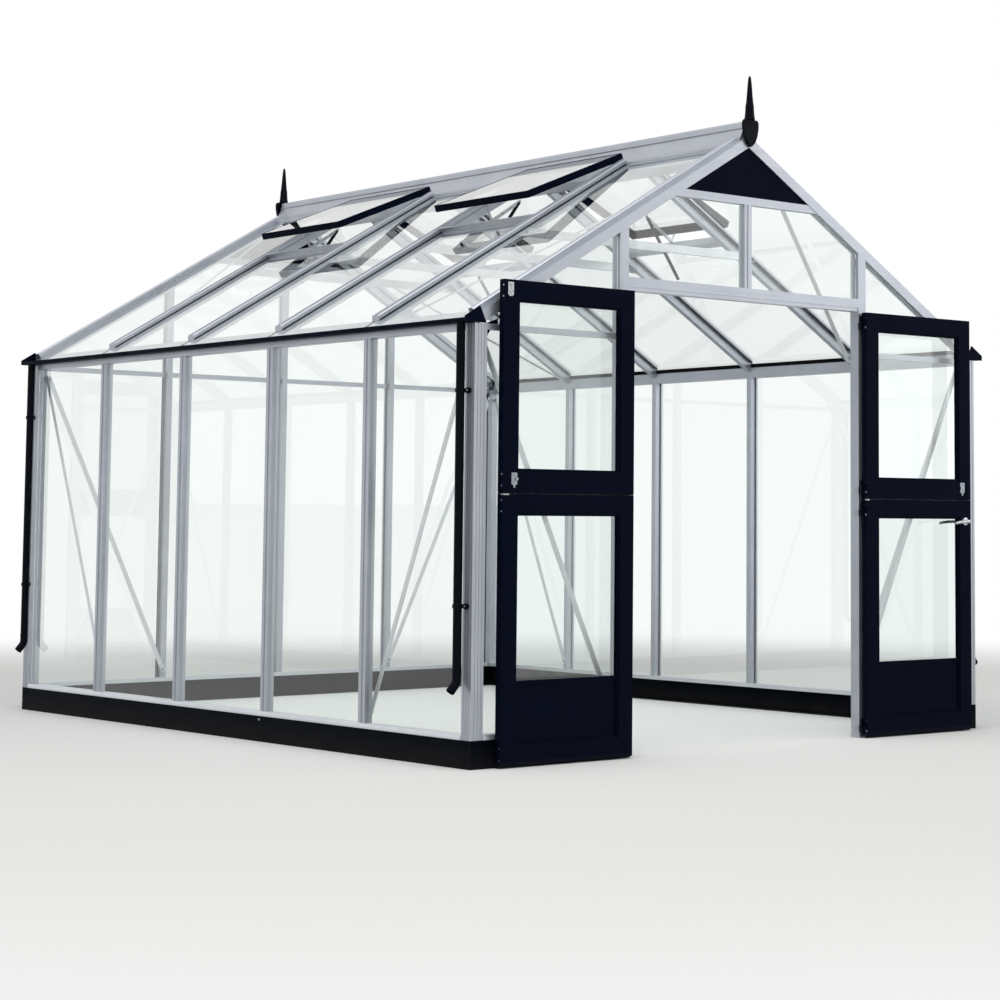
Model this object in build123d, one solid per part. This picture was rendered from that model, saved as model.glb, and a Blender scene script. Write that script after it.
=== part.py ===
from build123d import *
import math
import os

# Glass greenhouse: aluminium glazing bars on a black steel plinth, a pitched glass roof with
# four opening vents, and a pair of split doors that swing outwards from the front gable.
# Millimetres. X runs across the gable, Y along the length (the doors are at -Y), Z is up.
# The origin is on the ground, in the middle of the greenhouse together with its opened doors.

# Overall sizes
width = 2960.0
length = 3680.0
side_bays = 5
eaves_z = 1695.0
roof_rise = 0.59
eaves_glass_up = 49.8
ridge_up = 67.0
origin_shift = 41.0

# Plinth and sill
plinth_h = 110.0
plinth_depth = 42.0
plinth_t = 3.0
sill_h = 20.0
sill_depth = 52.0
sill_nose = 4.0
sill_drip_h = 7.0
sill_wall = 3.0

# Glazing bars, posts and panes
glass_t = 4.0
seat = 0.3
bar_face = 46.0
bar_body = 30.0
bar_web = 12.0
bar_wall = 2.5
rib_w = 8.0
rib_h = 3.0
wall_proud = 16.0
wall_bar_depth = 50.0
roof_proud = 24.0
bar_foot_back = 44.0
roof_bar_depth = 41.0
corner_size = 60.0
corner_wall = 3.0
rafter_w = 46.0
rafter_lap = 12.0
rafter_wall = 3.5
eaves_depth = 48.0
eaves_wall = 3.0
tie_h = 24.0
tie_t = 30.0

# Doorway
jamb_w = 48.0
jamb_inner_x = 688.0
head_bottom_z = 1900.0
head_h = 56.0
head_step = 3.0
head_step_h = 16.0
head_wall = 3.0
panel_drop = 265.0
panel_rail_h = 34.0
panel_t = 4.0

# Doors
leaf_t = 30.0
leaf_gap = 5.0
leaf_bottom_z = 10.0
leaf_split_z = 1060.0
leaf_split_gap = 6.0
leaf_top_z = 1894.0
stile_w = 81.0
rail_w = 86.0
kick_top_z = 334.0
kick_t = 8.0
kick_cap_h = 14.0
kick_cap_t = 20.0
groove_d = 8.0
bead_w = 9.0
bead_d = 4.0
hinge_stand = 15.0
hinge_edge = 5.5
knuckle_r = 5.0
knuckle_gap = 0.4
hinge_h = 60.0
hinge_plate_t = 2.0
hinge_plate_w = 26.0
left_open_deg = 180.0
right_open_deg = 178.0

# Ridge, gutter and downpipes
ridge_half = 84.0
ridge_skin = 12.0
ridge_wall = 4.0
ridge_neck_x = 24.0
ridge_neck_drop = 32.0
ridge_flank_r = 135.0
ridge_lip = 8.0
ridge_rib_w = 5.0
ridge_rib_h = 4.0
shield_half = 40.0
shield_drop = 18.0
shield_rise = 8.0
shield_bulge = 10.0
shield_t = 14.0
spire_sides = 8
spire = ((0.0, 20.0), (24.0, 16.0), (60.0, 14.5), (98.0, 9.0), (140.0, 6.5), (191.0, 2.5))
gutter_reach = 54.0
gutter_up = 25.0
gutter_h = 16.0
gutter_back_drop = 2.0
gutter_wall = 2.5
gutter_bevel = 10.0
gutter_lip_w = 7.0
pipe_r = 17.5
pipe_inset = 55.0
pipe_wall = 2.0
pipe_foot_z = 310.0
shoe_reach = 40.0
shoe_drop = 36.0
shoe_bore = 38.0
clip_zs = (1455.0, 622.0)
clip_t = 3.0
clip_h = 16.0
clip_pad_t = 5.0
clip_pad_y = 16.0

# Roof vents
vent_open_left_deg = 8.0
vent_open_right_deg = 5.5
vent_len = 596.0
vent_frame_w = 34.0
vent_frame_t = 32.0
vent_rim_w = 5.0
vent_rim_h = 1.0
vent_side_gap = 3.0
vent_hinge_x = 58.0
trimmer_x = 540.0
trimmer_w = 30.0
trimmer_h = 18.0
trimmer_lap = 16.0
trimmer_wall = 3.0
opener_r = 8.0
opener_len = 360.0
opener_deg = 35.7
opener_reach = 158.0
opener_lift = 17.0
strut_lean = 0.5
arm_w = 14.0
arm_t = 8.0
brace_w = 24.0
brace_t = 3.0
collar_drop = 413.0
collar_h = 40.0
collar_w = 20.0

half_w = width / 2
half_l = length / 2
bay = length / side_bays
glass_apex_z = eaves_z + eaves_glass_up + roof_rise * half_w
ridge_top_z = glass_apex_z + ridge_up
panel_bottom_z = glass_apex_z - panel_drop
gutter_bottom_z = eaves_z + gutter_up
gutter_lip_z = gutter_bottom_z + gutter_h
corner_top_z = gutter_bottom_z - 2
pitch = math.degrees(math.atan(roof_rise))
cos_p = math.cos(math.radians(pitch))
sin_p = math.sin(math.radians(pitch))
sill_top = plinth_h + sill_h
jamb_x = jamb_inner_x + jamb_w / 2
post_lines_y = [-half_l + bay * k for k in range(1, side_bays)]
vent_bays = [k for k in range(side_bays) if k % 2 == 1]
glass_in = wall_proud
frame_in = wall_bar_depth


def save(node, solids):
    """Write one named node as a STEP file, moved from the house's own middle to the origin."""
    flat = []
    for solid in solids:
        flat.extend((Pos(0, origin_shift, 0) * solid).solids())
    shape = flat[0] if len(flat) == 1 else Compound(children=flat)
    export_step(shape, f"parts/{node}.step")


def box(x0, x1, y0, y1, z0, z1):
    """A block between two corners."""
    centre = Location(((x0 + x1) / 2, (y0 + y1) / 2, (z0 + z1) / 2))
    return centre * Box(abs(x1 - x0), abs(y1 - y0), abs(z1 - z0))


def outline(points):
    """A closed flat face through points of the drawing plane."""
    return make_face(Polyline(*points, close=True))


def run(profile, start, direction, outward, amount):
    """Push a profile along direction, with its own +Y turned to outward."""
    across = Vector(*outward).cross(Vector(*direction))
    plane = Plane(origin=start, x_dir=across, z_dir=direction)
    return extrude(plane * profile, amount=amount)


def bar_profile(proud, depth):
    """Section of a glazing bar: ribbed cap, web between the panes and hollow body behind them.
    The outer face of the panes is at y = 0 and outward is +Y."""
    cap = bar_face / 2
    web = bar_web / 2
    body = bar_body / 2
    behind = -glass_t - seat
    half = [
        (rib_w / 2, proud),
        (rib_w / 2, proud - rib_h),
        (cap - 3, proud - rib_h),
        (cap, proud - rib_h - 3),
        (cap, seat),
        (web, seat),
        (web, behind),
        (body, behind),
        (body, -depth),
    ]
    other = [(-x, y) for x, y in reversed(half)]
    tube_h = depth - glass_t - seat - 2 * bar_wall
    chamber = Pos(0, -depth + bar_wall + tube_h / 2) * Rectangle(bar_body - 2 * bar_wall, tube_h)
    return outline(half + other) - chamber


def roof_z(x):
    """Height of the outer face of the roof glass."""
    return glass_apex_z - roof_rise * abs(x)


def mirror_x(solids):
    return [mirror(solid, about=Plane.YZ) for solid in solids]


def mirror_y(solids):
    return [mirror(solid, about=Plane.XZ) for solid in solids]


def across_gable(shape, y0, y1):
    """Push a face drawn in X and Z, or an outline through points there, along Y."""
    face = outline(shape) if isinstance(shape, list) else shape
    plane = Plane(origin=(0, y0, 0), x_dir=(1, 0, 0), z_dir=(0, -1, 0))
    return extrude(plane * face, amount=y0 - y1)


# Plinth: folded steel channels with a joint in the long sides
def plinth_channel():
    return outline([
        (0, 0),
        (plinth_depth, 0),
        (plinth_depth, plinth_t),
        (plinth_t, plinth_t),
        (plinth_t, plinth_h - plinth_t),
        (plinth_depth, plinth_h - plinth_t),
        (plinth_depth, plinth_h),
        (0, plinth_h),
    ])


def mitre_wedge(side):
    """The part of the front right corner, in plan, that the side or the front leaves free."""
    far = 2 * plinth_depth
    over = 10
    gap = seat / 2 if side else -seat / 2
    near_point = (half_w + over + gap, -half_l - over + gap)
    far_point = (half_w - far + gap, -half_l + far + gap)
    third = (half_w - far + gap, -half_l - over) if side else (half_w + over, -half_l + far + gap)
    return extrude(Plane.XY.offset(-1) * outline([near_point, far_point, third]),
                   amount=plinth_h + 2)


def plinth_side():
    """The right side's plinth, in two lengths that meet at the second post."""
    joint = post_lines_y[1]
    ends = [(-half_l, joint - seat), (joint + seat, half_l)]
    wedge = mitre_wedge(True)
    lengths = []
    for y0, y1 in ends:
        face = Plane(origin=(half_w, y0, 0), x_dir=(-1, 0, 0), z_dir=(0, 1, 0)) * plinth_channel()
        lengths.append(extrude(face, amount=y1 - y0) - wedge - mirror_y([wedge])[0])
    return lengths


def plinth_end(x0, x1):
    """A length of the front plinth, from x0 to x1."""
    face = Plane(origin=(x0, -half_l, 0), x_dir=(0, 1, 0), z_dir=(1, 0, 0)) * plinth_channel()
    return extrude(face, amount=x1 - x0)


def make_plinth():
    right = plinth_side()
    wedge = mitre_wedge(False)
    outer_jamb = jamb_inner_x + jamb_w + seat
    front_right = plinth_end(outer_jamb, half_w) - wedge
    whole_end = plinth_end(-half_w, half_w) - wedge - mirror_x([wedge])[0]
    save("plinth_right", right)
    save("plinth_left", mirror_x(right))
    save("plinth_front", [front_right] + mirror_x([front_right]))
    save("plinth_back", mirror_y([whole_end]))


# Sill rails: aluminium rails that lie on the plinth between the posts
def sill_profile():
    """Section with the wall's outer face at x = 0 and the sill's underside at y = 0."""
    outer = outline([
        (sill_nose, 0),
        (sill_nose, sill_drip_h),
        (0, sill_h),
        (-sill_depth, sill_h),
        (-sill_depth, 0),
    ])
    inner_w = sill_depth - 2 * sill_wall
    chamber = Pos(-sill_depth / 2, sill_h / 2) * Rectangle(inner_w, sill_h - 2 * sill_wall)
    return outer - chamber


def make_sills():
    y_in = half_l - corner_size - seat
    x_in = half_w - corner_size - seat
    outer_jamb = jamb_inner_x + jamb_w + seat
    side_plane = Plane(origin=(half_w, y_in, plinth_h), x_dir=(1, 0, 0), z_dir=(0, -1, 0))
    side = extrude(side_plane * sill_profile(), amount=2 * y_in)
    front_plane = Plane(origin=(x_in, -half_l, plinth_h), x_dir=(0, -1, 0), z_dir=(-1, 0, 0))
    front = extrude(front_plane * sill_profile(), amount=x_in - outer_jamb)
    back_plane = Plane(origin=(-x_in, half_l, plinth_h), x_dir=(0, 1, 0), z_dir=(1, 0, 0))
    back = extrude(back_plane * sill_profile(), amount=2 * x_in)
    save("sill_rails", [side, front, back] + mirror_x([side, front]))


# Posts
def corner_profile():
    flute_w = 6.0
    flute_d = 1.5
    hollow = corner_size - 2 * corner_wall
    face = Rectangle(corner_size, corner_size) - Rectangle(hollow, hollow)
    for k in (-1, 0, 1):
        place = k * corner_size / 4
        edge = corner_size / 2 - flute_d / 2
        face -= Pos(place, edge) * Rectangle(flute_w, flute_d)
        face -= Pos(edge, place) * Rectangle(flute_d, flute_w)
    return face


def make_corner_posts():
    centre_x = half_w - corner_size / 2
    centre_y = half_l - corner_size / 2
    face = Plane(origin=(centre_x, centre_y, plinth_h)) * corner_profile()
    post = extrude(face, amount=corner_top_z - plinth_h)
    pair = [post] + mirror_x([post])
    save("corner_posts", pair + mirror_y(pair))


def wall_post(y):
    profile = bar_profile(wall_proud, frame_in - glass_in)
    start = (half_w - glass_in, y, sill_top)
    return run(profile, start, (0, 0, 1), (1, 0, 0), eaves_z - sill_top)


def make_wall_posts():
    posts = [wall_post(y) for y in post_lines_y]
    save("wall_posts", posts + mirror_x(posts))


def under_rafter(x):
    """Lower edge of the gable rafter at plan distance x."""
    return roof_z(x) - roof_bar_depth / cos_p


def gable_post(x, bottom, y_dir):
    """A glazing bar in a gable, cut to the slope of the rafter."""
    profile = bar_profile(wall_proud, frame_in - glass_in)
    start = (x, y_dir * (half_l - glass_in), bottom)
    post = run(profile, start, (0, 0, 1), (0, y_dir, 0), ridge_top_z - bottom)
    return post - above_rafters()


def above_rafters():
    """Everything above the underside of the rafters."""
    top = ridge_top_z + 200
    reach = half_w + 200
    edge = under_rafter(0) - seat
    low = under_rafter(reach) - seat
    return across_gable([(-reach, low), (0, edge), (reach, low), (reach, top), (-reach, top)],
                        -half_l - 100, half_l + 100)


def make_gable_posts():
    jamb = box(jamb_inner_x, jamb_inner_x + jamb_w, -half_l, -half_l + frame_in, 0, ridge_top_z)
    hollow = box(jamb_inner_x + bar_wall, jamb_inner_x + jamb_w - bar_wall,
                 -half_l + bar_wall, -half_l + frame_in - bar_wall, -1, ridge_top_z)
    jamb = jamb - hollow - above_rafters()
    save("door_jambs", [jamb] + mirror_x([jamb]))
    head_top = head_bottom_z + head_h
    rail_bottom = panel_bottom_z - panel_rail_h
    profile = bar_profile(wall_proud, frame_in - glass_in)
    start = (0, -half_l + glass_in, head_top)
    front = run(profile, start, (0, 0, 1), (0, -1, 0), rail_bottom - head_top)
    start = (0, half_l - glass_in, sill_top)
    middle = run(profile, start, (0, 0, 1), (0, 1, 0), rail_bottom - sill_top)
    side = gable_post(jamb_x, sill_top, 1)
    save("gable_posts", [front, middle, side] + mirror_x([side]))


def head_section():
    """Hollow head rail with a stepped lower edge, drawn in Y and Z from its outer lower corner."""
    outer = outline([
        (head_step, 0),
        (frame_in, 0),
        (frame_in, head_h),
        (0, head_h),
        (0, head_step_h),
        (head_step, head_step_h),
    ])
    chamber = Rectangle(frame_in - head_step - 2 * head_wall, head_h - 2 * head_wall)
    return outer - Pos((frame_in + head_step) / 2, head_h / 2) * chamber


def tie_section():
    chamber = Rectangle(tie_t - 2 * bar_wall, tie_h - 2 * bar_wall)
    return Pos(tie_t / 2, tie_h / 2) * (Rectangle(tie_t, tie_h) - chamber)


def along_front(section, x0, x1, y, z):
    """Push a section drawn inwards and upwards from the front along X."""
    plane = Plane(origin=(x0, y, z), x_dir=(0, 1, 0), z_dir=(1, 0, 0))
    return extrude(plane * section, amount=x1 - x0)


def make_head_and_ties():
    reach = jamb_inner_x - seat
    head = along_front(head_section(), -reach, reach, -half_l, head_bottom_z)
    save("door_head", [head])
    y = -half_l + 4
    x0 = jamb_inner_x + jamb_w + seat
    x1 = half_w - corner_size - seat
    front = along_front(tie_section(), x0, x1, y, eaves_z)
    clear = bar_face / 2 + seat
    outer = along_front(tie_section(), jamb_x + clear, x1, y, eaves_z)
    inner = along_front(tie_section(), clear, jamb_x - clear, y, eaves_z)
    back = mirror_y([outer, inner])
    save("gable_ties", [front] + mirror_x([front]) + back + mirror_x(back))


# Roof frame
def slope_slice(x0, x1, n0, n1):
    """Block of the right slope between two plan distances and two heights off the glass."""
    reach = half_l + 100
    lift0 = n0 / cos_p
    lift1 = n1 / cos_p
    points = [(x0, roof_z(x0) + lift0), (x1, roof_z(x1) + lift0),
              (x1, roof_z(x1) + lift1), (x0, roof_z(x0) + lift1)]
    return across_gable(points, -reach, reach)


def down_slope(profile, y, outward=(1, 0, 0)):
    """Push a profile from the ridge down the right slope at y."""
    start = (0, y, glass_apex_z)
    direction = (cos_p, 0, -sin_p)
    return run(profile, start, direction, (sin_p, 0, cos_p), (half_w + 100) / cos_p)


def roof_bar(y):
    whole = down_slope(bar_profile(roof_proud, roof_bar_depth), y)
    x_top = ridge_half + seat
    under = slope_slice(x_top, half_w - eaves_depth - seat, -roof_bar_depth - 5, -glass_t - seat)
    over = slope_slice(x_top, half_w - bar_foot_back, -glass_t - seat, roof_proud + 5)
    return whole & (under + over)


def make_roof_bars():
    bars = [roof_bar(y) for y in post_lines_y]
    save("roof_bars", bars + mirror_x(bars))


def rafter_profile():
    """Section of a gable rafter: flat outer face below, a stepped upstand and a cap that laps
    over the edge of the glass. X runs inwards from the outer face, Y off the glass."""
    w = rafter_w
    body = outline([
        (0, -roof_bar_depth),
        (w, -roof_bar_depth),
        (w, seat),
        (w + rafter_lap, seat),
        (w + rafter_lap, roof_proud - 4),
        (w + rafter_lap - 4, roof_proud),
        (w - 14, roof_proud),
        (w - 20, roof_proud - 5),
        (w - 20, roof_proud - 9),
        (w - 27, roof_proud - 9),
        (w - 27, roof_proud - 13),
        (w - 34, roof_proud - 13),
        (w - 34, 6),
        (4, 6),
        (4, 2),
        (0, 2),
    ])
    inner_h = roof_bar_depth - 2 * rafter_wall
    return body - Pos(w / 2, -roof_bar_depth / 2) * Rectangle(w - 2 * rafter_wall, inner_h)


def make_rafters():
    face = Plane(origin=(0, -half_l, glass_apex_z), x_dir=(0, 1, 0), z_dir=(cos_p, 0, -sin_p))
    rafter = extrude(face * rafter_profile(), amount=(half_w - 20) / cos_p)
    rafter = rafter & box(seat, half_w, -half_l - 1, 0, 0, ridge_top_z + 100)
    taken = offset(ridge_face(), amount=seat, kind=Kind.INTERSECTION)
    rafter = rafter - across_gable(taken, -half_l + ridge_skin - seat, half_l)
    corner = box(half_w - corner_size - seat, half_w, -half_l, 0, 0, corner_top_z + seat)
    rafter = rafter - corner
    pair = [rafter] + mirror_x([rafter])
    save("gable_rafters", pair + mirror_y(pair))


def ridge_flank():
    """Ends of the hollow flank on the right, and the middle and radius of its arc."""
    top = (ridge_neck_x, ridge_top_z - ridge_neck_drop)
    low = (ridge_half, roof_z(ridge_half) + ridge_lip)
    chord = math.dist(top, low)
    lift = math.sqrt(ridge_flank_r ** 2 - chord ** 2 / 4)
    centre = ((top[0] + low[0]) / 2 + lift * (top[1] - low[1]) / chord,
              (top[1] + low[1]) / 2 + lift * (low[0] - top[0]) / chord)
    return top, low, centre


def ridge_flank_z(x):
    """Height of the ridge's flank at plan distance x."""
    cx, cz = ridge_flank()[2]
    return cz - math.sqrt(ridge_flank_r ** 2 - (x - cx) ** 2)


def ridge_face():
    """Section of the ridge: a flat-topped ogee cap over the body that the roof bars butt on."""
    top, low, centre = ridge_flank()
    mid_x = (top[0] + low[0]) / 2
    middle = (mid_x, ridge_flank_z(mid_x))
    foot = (ridge_half, under_rafter(ridge_half) + 4)
    edge = [top, (ridge_neck_x - 2, ridge_top_z - 10), (ridge_neck_x - 8, ridge_top_z)]
    over = Polyline(*edge, *[(-x, z) for x, z in reversed(edge)])
    under = Polyline((-low[0], low[1]), (-foot[0], foot[1]), foot, low)
    right = ThreePointArc(low, middle, top)
    left = ThreePointArc((-top[0], top[1]), (-middle[0], middle[1]), (-low[0], low[1]))
    return make_face(over + left + under + right)


def make_ridge():
    y_end = half_l - ridge_skin
    hollow = ridge_face() - offset(ridge_face(), amount=-ridge_wall, kind=Kind.INTERSECTION)
    rib = Rectangle(ridge_rib_w * 2, ridge_rib_h)
    for side in (-1, 1):
        hollow += Pos(side * (ridge_neck_x - 1), ridge_top_z - ridge_neck_drop + ridge_rib_h) * rib
    save("ridge_beam", [across_gable(hollow, -y_end, y_end)])


def shield_face():
    """Outline of a ridge end: flat shoulders, and sides that bulge down to a point."""
    low = (0, glass_apex_z - roof_bar_depth / cos_p)
    side = (shield_half, ridge_top_z - shield_drop)
    shoulder = (shield_half - 6, ridge_top_z + shield_rise)
    chord = math.dist(low, side)
    middle = (side[0] / 2 + shield_bulge * (side[1] - low[1]) / chord,
              (side[1] + low[1]) / 2 - shield_bulge * side[0] / chord)
    top = Polyline(side, shoulder, (-shoulder[0], shoulder[1]), (-side[0], side[1]))
    left = ThreePointArc((-side[0], side[1]), (-middle[0], middle[1]), low)
    right = ThreePointArc(low, middle, side)
    return make_face(top + left + right)


def make_ridge_ends():
    plate = across_gable(shield_face(), -half_l - shield_t - seat, -half_l - seat)
    plug = across_gable(shield_face(), -half_l - shield_t, -half_l + ridge_skin - seat)
    over = slope_slice(0, 100, roof_proud / 2, 200)
    plug = plug & (over + mirror_x([over])[0])
    spike = Pos(0, -half_l - shield_t / 2, ridge_top_z + shield_rise) * finial()
    end = plate + plug + spike
    save("ridge_ends", [end, mirror_y([end])[0]])


def finial():
    """A moulded eight-sided spire."""
    rings = [Plane.XY.offset(z) * RegularPolygon(r, spire_sides) for z, r in spire]
    return loft(rings, ruled=True)


# Eaves rails, gutters and downpipes
def make_eaves():
    y_in = half_l - corner_size - seat
    under = -glass_t - seat
    x0 = half_w - eaves_depth
    top0 = roof_z(x0) + under / cos_p
    top1 = roof_z(half_w) + under / cos_p
    points = [(x0, eaves_z), (half_w, eaves_z), (half_w, top1), (x0, top0)]
    section = outline(points)
    section = section - offset(section, amount=-eaves_wall, kind=Kind.INTERSECTION)
    rail = across_gable(section, -y_in, y_in)
    save("eaves_rails", [rail] + mirror_x([rail]))


def gutter_end():
    """The black end piece that closes the gutter and covers the foot of the rafter."""
    x_in = half_w - 20
    return across_gable([
        (half_w - 52, gutter_bottom_z),
        (half_w + gutter_reach, gutter_bottom_z),
        (half_w + gutter_reach, gutter_lip_z + 6),
        (x_in, roof_z(x_in) + 30),
    ], -half_l - 6, -half_l - 2)


def make_gutters():
    t = gutter_wall
    x0 = half_w + seat
    x1 = half_w + gutter_reach
    bevel = gutter_bevel
    trough = across_gable([
        (x0, gutter_bottom_z),
        (x1 - bevel, gutter_bottom_z),
        (x1, gutter_bottom_z + bevel),
        (x1, gutter_lip_z),
        (x1 - gutter_lip_w, gutter_lip_z),
        (x1 - gutter_lip_w, gutter_lip_z - t),
        (x1 - t, gutter_lip_z - t),
        (x1 - t, gutter_bottom_z + bevel + t / 3),
        (x1 - bevel - t / 3, gutter_bottom_z + t),
        (x0 + t, gutter_bottom_z + t),
        (x0 + t, gutter_lip_z - gutter_back_drop),
        (x0, gutter_lip_z - gutter_back_drop),
    ], -half_l - 2, half_l + 2)
    end = gutter_end()
    gutter = trough + end + mirror_y([end])[0]
    save("gutters", [gutter] + mirror_x([gutter]))


def downpipe():
    """A pipe with a shoe that turns outwards at its foot, held by two clips on the corner post."""
    x = half_w + gutter_reach / 2
    y = -half_l + pipe_inset
    path = Polyline(
        (x, y, gutter_bottom_z - seat),
        (x, y, pipe_foot_z),
        (x + shoe_reach, y, pipe_foot_z - shoe_drop),
    )
    ring = Plane(origin=(x, y, gutter_bottom_z - seat), z_dir=(0, 0, -1))
    pipe = sweep(ring * Circle(pipe_r), path=path, transition=Transition.RIGHT)
    mouth = Vector(*path.position_at(1))
    inwards = Vector(*path.tangent_at(1)) * -1
    bore = Plane(origin=mouth, z_dir=inwards) * Circle(pipe_r - pipe_wall)
    pipe = pipe - extrude(bore, amount=shoe_bore)
    for z in clip_zs:
        pipe = pipe + pipe_clip(x, y, z)
    return pipe


def pipe_clip(x, y, z):
    """Eight-sided collar, a neck to the wall and a pad that lies on the face of the post."""
    grip = (pipe_r + clip_t) / math.cos(math.radians(22.5))
    turned = Rot(0, 0, 22.5) * RegularPolygon(grip, 8)
    collar = Pos(x, y, z - clip_h / 2) * extrude(turned, amount=clip_h)
    x0 = half_w + seat
    neck = box(x0, x - pipe_r / 2, y - clip_h / 3, y + clip_h / 3, z - clip_h / 3, z + clip_h / 3)
    pad = box(x0, x0 + clip_pad_t, -half_l + clip_pad_y, y, z - clip_h / 2, z + clip_h / 2)
    return collar + neck + pad


def make_downpipes():
    front = downpipe()
    pair = [front] + mirror_y([front])
    save("downpipes", pair + mirror_x(pair))


# Gable tops
def make_gable_panels():
    y0 = -half_l + 8
    half_base = (under_rafter(0) - panel_bottom_z) / roof_rise - 1
    panel = across_gable([(-half_base, panel_bottom_z + seat), (half_base, panel_bottom_z + seat),
                          (0, under_rafter(0) - 1)], y0, y0 + panel_t)
    save("gable_panels", [panel] + mirror_y([panel]))
    rail_z = panel_bottom_z - panel_rail_h
    reach_top = (under_rafter(0) - panel_bottom_z) / roof_rise - 1
    reach_low = (under_rafter(0) - rail_z) / roof_rise - 1
    rail = across_gable([(-reach_low, rail_z), (reach_low, rail_z),
                         (reach_top, panel_bottom_z), (-reach_top, panel_bottom_z)],
                        -half_l + 2, -half_l + 32)
    save("gable_panel_rails", [rail] + mirror_y([rail]))


# Panes
def side_panes():
    x1 = half_w - glass_in
    panes = []
    for k in range(side_bays):
        y0 = -half_l + bay * k + (corner_size if k == 0 else bar_web / 2) + seat
        last = k == side_bays - 1
        y1 = -half_l + bay * (k + 1) - (corner_size if last else bar_web / 2) - seat
        panes.append(box(x1 - glass_t, x1, y0, y1, sill_top + seat, eaves_z - seat))
    return panes


def gable_glass(points, y_dir):
    """One pane of a gable, from its outline in X and Z."""
    y0 = -half_l + glass_in
    pane = across_gable(points, y0, y0 + glass_t)
    return pane if y_dir < 0 else mirror_y([pane])[0]


def gable_panes(y_dir):
    """The panes of the right half of a gable."""
    front = y_dir < 0
    x_out = half_w - corner_size - seat
    x_side = jamb_inner_x + jamb_w + seat if front else jamb_x + bar_web / 2 + seat
    x_in = jamb_inner_x - seat if front else jamb_x - bar_web / 2 - seat
    x_mid = bar_web / 2 + seat
    tie_top = eaves_z + tie_h + seat
    rail_z = panel_bottom_z - panel_rail_h - seat
    slack = 2 * seat
    x_tie = min(x_out, (under_rafter(0) - tie_top - slack) / roof_rise - 1)
    x_rail = (under_rafter(0) - rail_z) / roof_rise - 1
    low = [(x_side, sill_top + seat), (x_out, sill_top + seat), (x_out, eaves_z - seat),
           (x_side, eaves_z - seat)]
    high = [(x_side, tie_top), (x_tie, tie_top), (x_tie, under_rafter(x_tie) - slack),
            (x_side, under_rafter(x_side) - slack)]
    inner_z = head_bottom_z + head_h + seat if front else tie_top
    top = [(x_mid, inner_z), (x_in, inner_z), (x_in, under_rafter(x_in) - slack),
           (x_rail, under_rafter(x_rail) - slack), (x_rail, rail_z), (x_mid, rail_z)]
    outlines = [low, high, top]
    if not front:
        outlines.append([(x_mid, sill_top + seat), (x_in, sill_top + seat),
                         (x_in, eaves_z - seat), (x_mid, eaves_z - seat)])
    return [gable_glass(points, y_dir) for points in outlines]


def roof_panes():
    """The fixed panes of the right slope; under a vent they stop at its trimmer."""
    panes = []
    for k in range(side_bays):
        y0 = -half_l + bay * k + (rafter_w if k == 0 else bar_web / 2) + seat
        last = k == side_bays - 1
        y1 = -half_l + bay * (k + 1) - (rafter_w if last else bar_web / 2) - seat
        x0 = trimmer_x + trimmer_lap if k in vent_bays else ridge_half + seat
        x1 = half_w + 8
        points = [(x0, roof_z(x0) - glass_t / cos_p), (x1, roof_z(x1) - glass_t / cos_p),
                  (x1, roof_z(x1)), (x0, roof_z(x0))]
        panes.append(across_gable(points, y0, y1))
    return panes


def make_glass():
    right = side_panes()
    save("wall_glass", right + mirror_x(right))
    ends = gable_panes(-1) + gable_panes(1)
    save("gable_glass", ends + mirror_x(ends))
    roof = roof_panes()
    save("roof_glass", roof + mirror_x(roof))


# Roof vents
def vent_place(k):
    """Y range of the vent over bay k."""
    inset = bar_face / 2 + vent_side_gap
    y0 = -half_l + bay * k + inset
    return y0, y0 + bay - 2 * inset


def vent_frame_plane(y0, open_deg):
    """Plane of a vent's underside, x down the slope from its hinge line and y along the ridge."""
    tilt = math.radians(pitch - open_deg)
    down = (math.cos(tilt), 0, -math.sin(tilt))
    start = (vent_hinge_x, y0, ridge_flank_z(vent_hinge_x) + seat)
    return Plane(origin=start, x_dir=down, z_dir=(math.sin(tilt), 0, math.cos(tilt)))


def make_vents():
    frames = []
    panes = []
    openers = []
    trimmers = []
    for k in vent_bays:
        y0, y1 = vent_place(k)
        frame, pane = vent_parts(y1 - y0)
        right = vent_frame_plane(y0, vent_open_right_deg)
        left = vent_frame_plane(y0, vent_open_left_deg)
        frames += [right * frame] + mirror_x([left * frame])
        panes += [right * pane] + mirror_x([left * pane])
        openers += [opener(k, vent_open_right_deg)] + mirror_x([opener(k, vent_open_left_deg)])
        trimmers += [trimmer(k)] + mirror_x([trimmer(k)])
    save("vent_frames", frames)
    save("vent_glass", panes)
    save("vent_trimmers", trimmers)
    save("vent_stays", openers)


def vent_parts(wide):
    """A vent's frame, with a rebate round its top, and the pane that lies in the rebate."""
    middle = (vent_len / 2, wide / 2)
    hole = Rectangle(vent_len - 2 * vent_frame_w, wide - 2 * vent_frame_w)
    pane_z = vent_frame_t - vent_rim_h - glass_t
    whole = Pos(*middle) * extrude(Rectangle(vent_len, wide), amount=vent_frame_t)
    through = Pos(*middle) * extrude(hole, amount=vent_frame_t)
    shelf = Rectangle(vent_len - 2 * vent_rim_w, wide - 2 * vent_rim_w)
    rebate = Pos(*middle, pane_z - seat) * extrude(shelf, amount=vent_frame_t)
    edge = 2 * (vent_rim_w + seat)
    pane = Pos(*middle, pane_z) * extrude(Rectangle(vent_len - edge, wide - edge), amount=glass_t)
    return whole - through - rebate, pane


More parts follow.
